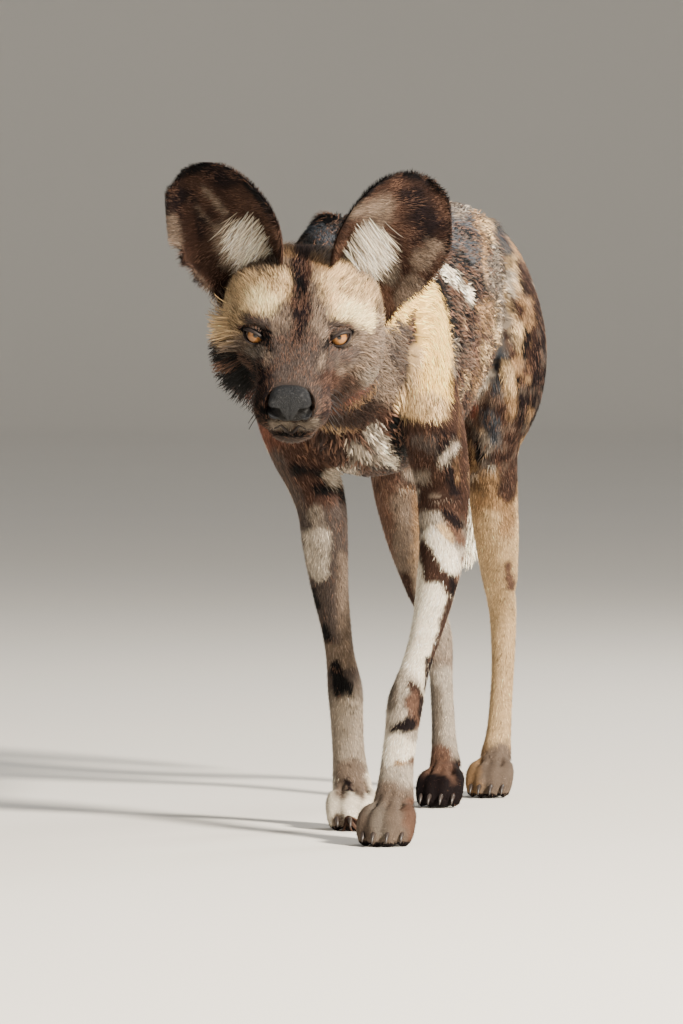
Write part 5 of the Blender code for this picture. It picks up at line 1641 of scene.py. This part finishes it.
class Look:
    """A material whose nodes are all added by one method."""

    def __init__(self, name, **plain):
        self.material = bpy.data.materials.new(name)
        self.material.use_nodes = True
        self.tree = self.material.node_tree
        self.shader = self.tree.nodes["Principled BSDF"]
        for key, value in plain.items():
            self.shader.inputs[key.replace("_", " ")].default_value = value

    def node(self, kind, settings=None, inputs=None, output=0):
        made = self.tree.nodes.new(kind)
        for key, value in (settings or {}).items():
            if key == "stops":
                ramp = made.color_ramp.elements
                while len(ramp) < len(value):
                    ramp.new(0.5)
                for stop, (place, shade) in zip(ramp, value):
                    stop.position = place
                    stop.color = (*shade, 1.0)
            else:
                setattr(made, key, value)
        for key, value in (inputs or {}).items():
            if isinstance(value, Wire):
                self.tree.links.new(value.socket, made.inputs[key])
            else:
                made.inputs[key].default_value = value
        return Wire(self, made.outputs[output])

    def attribute(self, name, output):
        return self.node("ShaderNodeAttribute", {"attribute_name": name}, {}, output)

    def place(self):
        return self.node("ShaderNodeTexCoord", {}, {}, "Object")

    def noise(self, vector, scale, detail=3.0):
        return self.node("ShaderNodeTexNoise", {}, {"Vector": vector, "Scale": scale, "Detail": detail})

    def scaled(self, vector, amount):
        return self.node("ShaderNodeVectorMath", {"operation": "MULTIPLY"}, {0: vector, 1: amount})

    def shade(self, colour, amount):
        return self.node("ShaderNodeVectorMath", {"operation": "SCALE"}, {0: colour, 3: amount})

    def mix(self, share, first, second):
        return self.node("ShaderNodeMix", {"data_type": "RGBA"}, {0: share, 6: first, 7: second}, 2)

    def bump(self, height, strength, distance):
        inputs = {"Height": height, "Strength": strength, "Distance": distance}
        self.give("Normal", self.node("ShaderNodeBump", {}, inputs))

    def give(self, socket, wire):
        self.tree.links.new(wire.socket, self.shader.inputs[socket])


def skin_look():
    """Short flat hair as fine streaks along the lie."""
    look = Look("short_coat", Specular_IOR_Level=0.06)
    coat = look.attribute("coat", "Color")
    grain = look.attribute("grain", "Vector")
    streaks = look.noise(look.scaled(grain, (90.0, 900.0, 1.0)), 1.0, 4.0)
    coarse = look.noise(look.scaled(grain, (40.0, 260.0, 1.0)), 1.0, 2.0)
    look.give("Base Color", look.shade(coat, streaks * 0.7 + coarse * 0.5 + 0.42))
    look.give("Roughness", streaks * 0.25 + 0.62)
    look.bump(streaks + coarse * 0.5, 0.55, 0.0012)
    return look.material


def hair_look(name="hair", roughness=0.62):
    """Hair that takes each tuft's own colour, a little uneven along it."""
    look = Look(name, Specular_IOR_Level=0.08)
    coat = look.attribute("coat", "Color")
    flecks = look.noise(look.place(), 420.0, 2.0)
    look.give("Base Color", look.shade(coat, flecks * 0.5 + 0.75))
    look.give("Roughness", flecks * 0.2 + (roughness - 0.1))
    return look.material


def eye_look():
    """Amber iris with dark rim and pupil under a wet surface."""
    colour = palette()
    look = Look("wet_eye", Roughness=0.10, Specular_IOR_Level=0.25, Coat_Weight=0.30, Coat_Roughness=0.02)
    gaze = look.attribute("gaze", "Vector")
    flat = look.scaled(gaze, (1.0, 1.0, 0.0))
    radius = look.node("ShaderNodeVectorMath", {"operation": "LENGTH"}, {0: flat}, "Value")
    spoke = look.node("ShaderNodeVectorMath", {"operation": "NORMALIZE"}, {0: flat})
    fibres = look.noise(look.scaled(spoke, (7.0, 7.0, 1.0)), 2.2, 4.0)
    cloud = look.noise(gaze, 260.0, 2.0)
    reach = radius / EYE_RADIUS + (fibres - 0.5) * 0.04
    iris = tuple(colour["iris"])
    deep = tuple(c * 0.35 for c in iris)
    bright = (min(iris[0] * 1.15, 1), iris[1] * 1.15, iris[2] * 1.15)
    stops = ((0.0, (0.004, 0.004, 0.005)), (0.150, (0.004, 0.004, 0.005)), (0.180, deep), (0.27, bright),
             (0.56, iris), (0.680, deep), (0.730, (0.010, 0.007, 0.006)), (0.90, (0.030, 0.018, 0.015)))
    ring = look.node("ShaderNodeValToRGB", {"stops": stops}, {"Fac": reach}, "Color")
    look.give("Base Color", look.shade(ring, cloud * 0.4 + fibres * 0.5 + 0.5))
    return look.material


def lid_look():
    look = Look("lid_rim", Specular_IOR_Level=0.2)
    grains = look.noise(look.place(), 900.0)
    look.give("Base Color", look.mix(grains, (0.008, 0.006, 0.006, 1), (0.030, 0.022, 0.020, 1)))
    look.give("Roughness", grains * 0.3 + 0.40)
    look.bump(grains, 0.3, 0.0004)
    return look.material


def nose_look():
    """Bare pebbled leather, slate above, with painted shade in the grooves between the pebbles and in the
    nostrils.
    """
    colour = tuple(palette()["nose"])
    look = Look("nose_leather", Specular_IOR_Level=0.24, Coat_Weight=0.04, Coat_Roughness=0.35)
    place = look.place()
    inputs = {"Vector": place, "Scale": 700.0}
    cells = look.node("ShaderNodeTexVoronoi", {"feature": "DISTANCE_TO_EDGE"}, inputs)
    cloud = look.noise(place, 120.0)
    # Painted shade: the grooves between the pebbles are drawn darker, where the bump sinks them
    dark = tuple(c * 0.35 for c in colour)
    leather = look.mix(cells * 4.0 * cloud + 0.25, (*dark, 1), (*colour, 1))
    # Painted shade: the nostrils' hollows are drawn near black
    look.give("Base Color", look.mix(look.attribute("hollow", "Fac"), leather, (0.0015, 0.0012, 0.0014, 1)))
    look.give("Roughness", cloud * 0.25 + 0.42)
    look.bump(cells * 3.0 + cloud, 0.75, 0.0009)
    return look.material


def claw_look():
    colour = tuple(palette()["claw"])
    look = Look("claw_horn", Specular_IOR_Level=0.5)
    lines = look.noise(look.scaled(look.place(), (900.0, 160.0, 160.0)), 1.0, 3.0)
    pale = tuple(min(1.0, c * 2.6) for c in colour)
    look.give("Base Color", look.mix(lines, (*colour, 1), (*pale, 1)))
    look.give("Roughness", lines * 0.25 + 0.28)
    look.bump(lines, 0.25, 0.0005)
    return look.material


def floor_look():
    colour = tuple(palette()["floor"])
    look = Look("studio_floor", Specular_IOR_Level=0.1)
    cloud = look.noise(look.place(), 0.8, 2.0)
    look.give("Base Color", look.mix(cloud, tuple(c * 0.97 for c in colour) + (1,), (*colour, 1)))
    look.give("Roughness", cloud * 0.1 + 0.82)
    return look.material


def eyeball(sign):
    """A ball with a raised cornea that looks towards the camera."""
    middle = np.array(eye_frame(sign)[0])
    gaze = Vector(photo_places(middle[None])[1][0])
    look = (gaze * 0.78 + eye_frame(sign)[1] * 0.22 - Vector((0, 0, 0.03))).normalized()
    aside = look.cross(Vector((0, 0, 1))).normalized()
    upward = aside.cross(look)
    radius = EYE_RADIUS - 0.0004
    points = []
    for r in range(1, BALL_ROWS):
        angle = math.pi * r / BALL_ROWS
        dome = 1 + CORNEA * max(0.0, 1 - (angle / 0.62) ** 2)
        for k in range(BALL_SIDES):
            turn = 2 * math.pi * k / BALL_SIDES
            around = math.sin(angle)
            spot = (around * math.cos(turn), around * math.sin(turn), math.cos(angle) * dome)
            points.append([s * radius for s in spot])
    points += [(0, 0, radius * (1 + CORNEA)), (0, 0, -radius)]
    faces, last = ring_faces(BALL_ROWS - 1, BALL_SIDES), (BALL_ROWS - 2) * BALL_SIDES
    for k in range(BALL_SIDES):
        n = (k + 1) % BALL_SIDES
        faces.append((len(points) - 2, n, k))
        faces.append((len(points) - 1, last + k, last + n))
    clay = Clay()
    local = np.array(points)
    clay.add(middle + local @ np.array((aside, upward, look)), faces)
    made = clay.as_object("eyeball_left" if sign > 0 else "eyeball_right")
    add_attribute(made.data, "gaze", "FLOAT_VECTOR", "vector", local)
    return made


def lid_rims(sign):
    """The dark wet edge of both lids of one eye, with the corner towards the nose."""
    middle, look, outer, across = eye_frame(sign)
    path = []
    for upper, thick in LID_EDGES:
        for k in range(LID_STEPS):
            share = (2 * k / LID_STEPS - 1) * (1 if upper else -1)
            path.append((share * LID_HALF_WIDTH, float(lid_line(share, upper)), thick))
    path = np.array(path)
    count, sides = len(path), 8
    depth = np.sqrt(np.maximum(LID_EDGE_RADIUS**2 - path[:, 0] ** 2 - path[:, 1] ** 2, 0.00001))
    spots = np.array(middle) + np.outer(path[:, 0], outer) + np.outer(path[:, 1], across)
    spots = spots + np.outer(depth, look)
    along = unit(np.roll(spots, -1, axis=0) - np.roll(spots, 1, axis=0))
    high = unit(spots - np.array(middle))
    side = np.cross(along, high)
    points, faces = [], []
    for k in range(count):
        for n in range(sides):
            turn = 2 * math.pi * n / sides
            reach = side[k] * math.cos(turn) * 1.15 + high[k] * math.sin(turn) * 0.8
            points.append(spots[k] + path[k, 2] * reach)
            faces.append((k * sides + n, k * sides + (n + 1) % sides,
                          (k + 1) % count * sides + (n + 1) % sides, (k + 1) % count * sides + n))
    clay = Clay()
    clay.add(points, faces)
    return clay.as_object("lids_left" if sign > 0 else "lids_right")


def lips():
    """The dark edge of the mouth, laid on the skin."""
    ground = dog_ground()
    skin = BVHTree.FromPolygons(ground["points"].tolist(), ground["corners"].tolist())
    path = []
    for spot in curve_through([tuple(p) for p in mouth_path()], 4):
        place, normal, *_ = skin.find_nearest(Vector(spot))
        path.append(place - normal * 0.0002)
    fade = np.sin(np.linspace(0.06, math.pi - 0.06, len(path))) ** 0.5
    clay = Clay()
    clay.tube(path, [(0.0018 * k, 0.0015 * k, 0.0015 * k) for k in fade], HEAD_UP, steps=2, sides=8)
    return clay.as_object("lips")


def nostril_path(sign):
    return [on_head(*p) for p in ((0.1005, 0.0042 * sign, -0.0470), (0.1035, 0.0086 * sign, -0.0420),
                                  (0.1020, 0.0138 * sign, -0.0380), (0.0965, 0.0190 * sign, -0.0360),
                                  (0.0885, 0.0226 * sign, -0.0368))]


def make_nose():
    """The bare nose with its wings, nostrils and middle line."""
    clay = Clay()
    forward, left, up, *radii = NOSE
    clay.blob(on_head(forward, left, up), HEAD_AXES, [r - 0.0004 for r in radii])
    for sign in (-1, 1):
        wing = on_head(forward + 0.003, 0.0138 * sign, up - 0.0025)
        clay.blob(wing, HEAD_AXES, (0.0122, 0.0088, 0.0122), 3)
    nose = clay.as_object("nose_pad")
    modify(nose, "REMESH", mode="VOXEL", voxel_size=0.0008)
    for sign in (-1, 1):
        cut = Clay()
        cut.tube(nostril_path(sign), [[r] * 3 for r in NOSTRIL_RADII], HEAD_UP, steps=3, sides=12)
        cutter = cut.as_object("nostril")
        modify(nose, "BOOLEAN", operation="DIFFERENCE", solver="MANIFOLD", object=cutter)
        bpy.data.objects.remove(cutter)
    modify(nose, "REMESH", mode="VOXEL", voxel_size=0.0007)
    modify(nose, "SMOOTH", iterations=5, factor=0.5)
    points, normals = points_of(nose), normals_of(nose)
    line = [on_head(0.107, 0, -0.030), on_head(0.1070, 0, -0.040), on_head(0.098, 0, -0.053)]
    points = groove(points, normals, line, 0.0011, 0.0016)
    local = head_places(points)
    beyond = local[:, 0] - NOSE_FRONT
    local[:, 0] = np.where(beyond > 0, NOSE_FRONT + beyond * 0.45, local[:, 0])
    wide, tall = np.abs(local[:, 1]) / NOSE[4], np.abs(local[:, 2] - NOSE[2]) / NOSE[5]
    square = np.hypot(wide, tall) / np.maximum((wide**2.9 + tall**2.9) ** (1 / 2.9), 1e-6)
    local[:, 1] *= square
    local[:, 2] = NOSE[2] + (local[:, 2] - NOSE[2]) * square
    points = local @ HEAD_AXES + np.array(EYE_MIDDLE)
    set_points(nose, points)
    # Painted shade for the nostrils' hollows, near black in the material
    hollow = np.zeros(len(points))
    for sign in (-1, 1):
        away = along_path(points, nostril_path(sign))[0]
        hollow = np.maximum(hollow, ease(0.0064, 0.0048, away) * (local[:, 0] < NOSE_FRONT + 0.0002))
    add_attribute(nose.data, "hollow", "FLOAT", "value", hollow)
    return nose


def make_claws():
    """Four curved claws on each paw."""
    clay = Clay()
    for place in PAWS.values():
        for offset, length in zip(TOE_OFFSETS, TOE_LENGTHS):
            side, tip = offset * place[2], length * place[2] + 0.016
            rows = ((tip - 0.007, 0.0140), (tip + 0.001, 0.0130),
                    (tip + 0.0060, 0.0092), (tip + 0.0085, 0.0050))
            path = [paw_point(place, side, *row) for row in rows]
            clay.tube(path, CLAW_SECTIONS, (0, 0, 1), steps=4, sides=12)
    return clay.as_object("claws")


def hair_pieces(coat):
    """Every coat piece: name, parts, count of tufts, length, width, lift and bands."""
    return (
        ("coat_head", ("head",), 48000, None, 0.0010, 0.0017, 1),
        ("coat_ears", ("ear_left", "ear_right"), 46000, coat.ear_length * 1.45, 0.0009, 0.0012, 1),
        ("coat_neck", ("neck",), 17000, coat.body_length * 1.15, 0.0016, 0.0030, 2),
        ("coat_trunk", ("torso",), 19900, coat.body_length, 0.0020, 0.0024, 2),
        ("coat_forelegs", ("fore_left", "fore_right"), 48000, coat.leg_length, 0.0012, 0.0012, 1),
        ("coat_hindlegs", ("hind_left", "hind_right"), 46000, coat.leg_length, 0.0012, 0.0012, 1),
        ("coat_tail", ("tail",), 5000, coat.body_length, 0.0016, 0.0022, 2),
    )


def face_length(points, coat):
    """Hair length on the head: shortest at the nose and eyes, longest on the cheeks and throat."""
    f, _, up = head_places(points).T
    length = coat.face_length * (0.62 + 0.75 * ease(0.05, -0.03, f))
    length = length * (1 + 1.0 * ease(-0.030, -0.060, up) * ease(0.02, -0.03, f))
    for sign, name in ((-1, "ear_right"), (1, "ear_left")):
        a, b, c = eye_places(points, sign).T
        length = length * (0.55 + 0.45 * ease(0.012, 0.026, np.sqrt(a * a + b * b + c * c * 0.3)))
        root = np.array(ear_axes(name)[0])
        length = length * (1 + 0.9 * ease(0.060, 0.040, np.linalg.norm(points - root, axis=1)))
    return length * (0.35 + 0.65 * ease(0.002, 0.012, along_path(points, mouth_path())[0]))


def fuller_face(points, normals, share):
    """More tufts towards the muzzle, where they are shortest."""
    return 1 + 1.6 * ease(-0.06, 0.0, head_places(points)[:, 0])


def make_coat(coat):
    """The short coat in pieces over the skin."""
    made = []
    for number, (name, parts, count, length, width, lift, bands) in enumerate(hair_pieces(coat)):
        weight = fuller_face if name == "coat_head" else None
        roots = scatter(parts, int(count * coat.density), COAT_SEED + number, weight)
        if name == "coat_head":
            length = face_length(roots["points"], coat)
        elif name == "coat_ears":
            up = np.clip(roots["share"], 0, 1)
            length = length * (1 - 0.35 * ease(0.75, 0.95, up))
        elif "leg" in name:
            share = roots["share"]
            low = ease(0.045, 0.035, roots["points"][:, 2])
            length = length * (1.35 - 0.45 * ease(0.30, 0.45, share) - 0.58 * low)
            width = width * (1.25 - 0.45 * ease(0.30, 0.5, share))
        shades = {"vary": 0.30, "root_shade": ROOT_SHADE_FACE if name == "coat_head" else ROOT_SHADE}
        shades["grizzle"] = GRIZZLE.get(name, GRIZZLE_LEGS)
        made.append(blades(name, roots, length, width, lift, bands, **shades))
    return made


def ear_hair(coat):
    """Long white hair from the inner edge across each ear's cup."""
    roots = None
    for number, name in enumerate(EARS):
        _, axis, outward, opening = (np.array(v) for v in ear_axes(name))

        def inner(points, normals, share):
            up, u, _ = ear_places(points, name)
            inside = (normals @ opening > 0.1) * ease(0.06, 0.20, up) * ease(0.56, 0.36, up)
            return inside * ease(-0.78, -0.45, u) * ease(0.0, -0.32, u)

        some = scatter((name,), int(EAR_HAIR_COUNT * coat.density), EAR_HAIR_SEED + number, inner)
        way = unit(outward * 0.85 - axis * 0.55 + opening * 0.25)
        some["lie"] = np.tile(way, (len(some["points"]), 1))
        roots = some if roots is None else {
            key: some["rng"] if key == "rng" else np.concatenate([roots[key], some[key]]) for key in some
        }
    count = len(roots["points"])
    roots["tint"] = np.tile(palette()["white"], (count, 1))
    roots["tinted"] = np.where(roots["rng"].random(count) < 0.62, 0.90, 0.25)
    return blades("coat_ear_hair", roots, 0.028, 0.00055, 0.0050, bands=3, vary=0.36)


def long_hair(coat):
    """The ruff of cheeks and throat, the hair under the neck, and the brush of the tail."""

    def ruff(points, normals, share):
        f, left, up = head_places(points).T
        side = ease(0.020, -0.025, up) * ease(0.01, -0.025, f) * ease(0.040, 0.058, np.abs(left))
        throat = ease(-0.062, -0.078, up) * ease(0.045, 0.02, f)
        return np.maximum(side, throat)

    def chest(points, normals, share):
        front = ease(-0.45, -0.8, normals[:, 1]) * ease(0.50, 0.46, points[:, 2])
        under = ease(0.1, -0.3, normals[:, 2]) + front
        return np.clip(under, 0, 1) * ease(-0.10, -0.16, points[:, 1])

    def brush(points, normals, share):
        return ease(0.30, 0.42, share)

    made = []
    roots = scatter(("head",), int(RUFF_COUNT * coat.density), LONG_HAIR_SEED, ruff)
    f, left, up = head_places(roots["points"]).T
    full = 0.38 + 0.42 * ease(0.0, -0.05, left) * ease(-0.01, -0.05, f)
    full = full + 0.25 * ease(-0.06, -0.075, up)
    length = coat.ruff_length * full * (1 - 0.60 * ease(-0.035, 0.0, up))
    roots["lie"] = unit(roots["lie"] + np.array((0, 0.15, -0.35)))
    lift = 0.0045 + 0.0095 * ease(0.0, -0.05, left)
    made.append(blades("coat_ruff", roots, length, 0.0008, lift, bands=3, vary=0.35))
    roots = scatter(("neck",), int(THROAT_COUNT * coat.density), LONG_HAIR_SEED + 1, chest)
    made.append(blades("coat_throat", roots, coat.ruff_length, 0.0010, 0.0070, bands=3, vary=0.30))
    roots = scatter(("tail",), int(BRUSH_COUNT * coat.density), LONG_HAIR_SEED + 2, brush)
    length = coat.brush_length * (1 - 0.75 * ease(0.70, 1.0, roots["share"]))
    made.append(blades("coat_brush", roots, length, 0.0016, 0.0065, bands=3))
    return made


def whiskers():
    """Stiff black hairs of the lips."""
    clay = Clay()
    rng = np.random.default_rng(WHISKER_SEED)
    for sign in (-1, 1):
        for row in range(3):
            for k in range(4):
                root = on_head(0.062 - 0.010 * k, (0.031 + 0.002 * k) * sign, -0.042 - 0.0060 * row)
                way = HEAD_LEFT * (0.60 * sign) + HEAD_FORWARD * (0.10 - 0.22 * k)
                way = way - HEAD_UP * (0.35 + 0.14 * row)
                length = 0.015 + 0.009 * rng.random()
                path = [root + way * (length * s) - Vector((0, 0, 0.006 * s * s)) for s in WHISKER_SHARES]
                clay.tube(path, [[r] * 3 for r in WHISKER_RADII], (0, 0, 1), steps=2, sides=4)
    return clay.as_object("whiskers")


def area_light(name, place, target, size, power, colour):
    light = bpy.data.lights.new(name, "AREA")
    light.shape = "DISK"
    light.size = size
    light.energy = power
    light.color = colour
    made = bpy.data.objects.new(name, light)
    made.location = place
    made.rotation_euler = (Vector(target) - Vector(place)).to_track_quat("-Z", "Y").to_euler()
    bpy.context.scene.collection.objects.link(made)


def set_camera():
    """The photograph's viewpoint."""
    camera = bpy.data.cameras.new("camera")
    camera.sensor_width = SENSOR
    camera.lens = SENSOR * FOCAL_PIXELS / PICTURE_HEIGHT
    camera.clip_end = 200.0
    made = bpy.data.objects.new("camera", camera)
    made.location = camera_axes()[0] - ORIGIN
    made.rotation_euler = (math.pi / 2 - CAMERA_DOWN, 0, CAMERA_TURN)
    bpy.context.scene.collection.objects.link(made)
    bpy.context.scene.camera = made


class BuildSkin(bpy.types.Operator):
    """Makes the one skin of the dog, its ears included, and paints its markings"""

    bl_idname = "wilddog.build_skin"
    bl_label = "Skin"

    def execute(self, context):
        skin, plates = make_skin(context.scene.wild_dog_coat)
        dress_skin(skin, plates)
        finish_piece(skin, skin_look(), "chest_look", *FLESH)
        return {"FINISHED"}


class BuildCoat(bpy.types.Operator):
    """Makes the short coat as tufts over the whole skin"""

    bl_idname = "wilddog.build_coat"
    bl_label = "Short coat"

    def execute(self, context):
        look = hair_look()
        for piece in make_coat(context.scene.wild_dog_coat):
            finish_piece(piece, look, "chest_look", smooth=False)
        return {"FINISHED"}


class BuildLongHair(bpy.types.Operator):
    """Makes the long hair of the ears, ruff, throat and tail brush"""

    bl_idname = "wilddog.build_long_hair"
    bl_label = "Long hair"

    def execute(self, context):
        coat = context.scene.wild_dog_coat
        look = hair_look("long_hair", 0.55)
        for piece in [ear_hair(coat)] + long_hair(coat):
            finish_piece(piece, look, "neck_look", smooth=False)
        return {"FINISHED"}


class BuildEyes(bpy.types.Operator):
    """Makes both eyes, the wet edges of their lids and the edge of the lips"""

    bl_idname = "wilddog.build_eyes"
    bl_label = "Eyes"

    def execute(self, context):
        eyes, lids = eye_look(), lid_look()
        for sign, side in ((1, "left"), (-1, "right")):
            finish_piece(eyeball(sign), eyes, f"eye_{side}_look", "eye_" + side)
            finish_piece(lid_rims(sign), lids, "head_look")
        finish_piece(lips(), lids, "head_look")
        return {"FINISHED"}


class BuildNose(bpy.types.Operator):
    """Makes the bare nose with its nostrils"""

    bl_idname = "wilddog.build_nose"
    bl_label = "Nose"

    def execute(self, context):
        finish_piece(make_nose(), nose_look(), "nose_look", "nose")
        return {"FINISHED"}


class BuildClaws(bpy.types.Operator):
    """Makes the sixteen claws"""

    bl_idname = "wilddog.build_claws"
    bl_label = "Claws"

    def execute(self, context):
        finish_piece(make_claws(), claw_look(), "forepaw_left_look")
        return {"FINISHED"}


class BuildWhiskers(bpy.types.Operator):
    """Makes the whiskers"""

    bl_idname = "wilddog.build_whiskers"
    bl_label = "Whiskers"

    def execute(self, context):
        finish_piece(whiskers(), lid_look(), "head_look")
        return {"FINISHED"}


class BuildStudio(bpy.types.Operator):
    """Makes the floor, the lights and the camera"""

    bl_idname = "wilddog.build_studio"
    bl_label = "Studio"

    def execute(self, context):
        studio = context.scene.wild_dog_studio
        clay = Clay()
        bend = [(20 + 6 * math.sin(t), 6 - 6 * math.cos(t)) for t in np.linspace(0, math.pi / 2, 32)]
        turn = np.linspace(0, 2 * math.pi, 128, endpoint=False)
        rings = [[(r * math.cos(t), r * math.sin(t), z) for t in turn] for r, z in bend + [(26, 20)]]
        faces = [tuple(range(len(turn)))] + ring_faces(len(rings), len(turn))
        clay.add([p for ring in rings for p in ring], faces)
        floor = clay.as_object("floor")
        floor.data.materials.append(floor_look())
        floor.data.polygons.foreach_set("use_smooth", [len(f.vertices) == 4 for f in floor.data.polygons])
        area_light("key", (4.1, -2.7, 3.0), (0.05, -0.2, 0.40), 0.8, studio.key, (1.0, 0.91, 0.78))
        area_light("fill", (-3.2, -3.6, 1.6), (0.0, -0.1, 0.40), 2.6, studio.fill, (0.90, 0.95, 1.0))
        area_light("rim", (1.8, 3.2, 2.6), (0.0, 0.2, 0.5), 1.6, studio.rim, (1.0, 0.97, 0.92))
        world = bpy.data.worlds.new("room")
        world.use_nodes = True
        background = world.node_tree.nodes["Background"]
        background.inputs["Color"].default_value = (0.92, 0.93, 0.95, 1)
        background.inputs["Strength"].default_value = studio.sky
        context.scene.world = world
        set_camera()
        return {"FINISHED"}


class WildDogPanel(bpy.types.Panel):
    """Lists the steps and sizes of the wild dog"""

    bl_idname = "VIEW3D_PT_wild_dog"
    bl_label = "Wild Dog"
    bl_space_type = "VIEW_3D"
    bl_region_type = "UI"
    bl_category = "Wild Dog"

    def draw(self, context):
        for step in STEPS:
            self.layout.operator(step.bl_idname)
        for group in ("wild_dog_coat", "wild_dog_colours", "wild_dog_studio"):
            owner = getattr(context.scene, group)
            for key in type(owner).__annotations__:
                self.layout.prop(owner, key)


GROUPS = {"wild_dog_colours": WildDogColours, "wild_dog_coat": WildDogCoat, "wild_dog_studio": WildDogStudio}
STEPS = (BuildSkin, BuildCoat, BuildLongHair, BuildEyes, BuildNose, BuildClaws, BuildWhiskers, BuildStudio)


def register():
    for group in (*GROUPS.values(), *STEPS, WildDogPanel):
        bpy.utils.register_class(group)
    for name, group in GROUPS.items():
        setattr(bpy.types.Scene, name, bpy.props.PointerProperty(type=group))


def unregister():
    for name in GROUPS:
        delattr(bpy.types.Scene, name)
    for group in reversed((*GROUPS.values(), *STEPS, WildDogPanel)):
        bpy.utils.unregister_class(group)


def main():
    """Builds everything."""
    register()
    for step in STEPS:
        group, name = step.bl_idname.split(".")
        getattr(getattr(bpy.ops, group), name)()


if __name__ == "__main__":
    main()
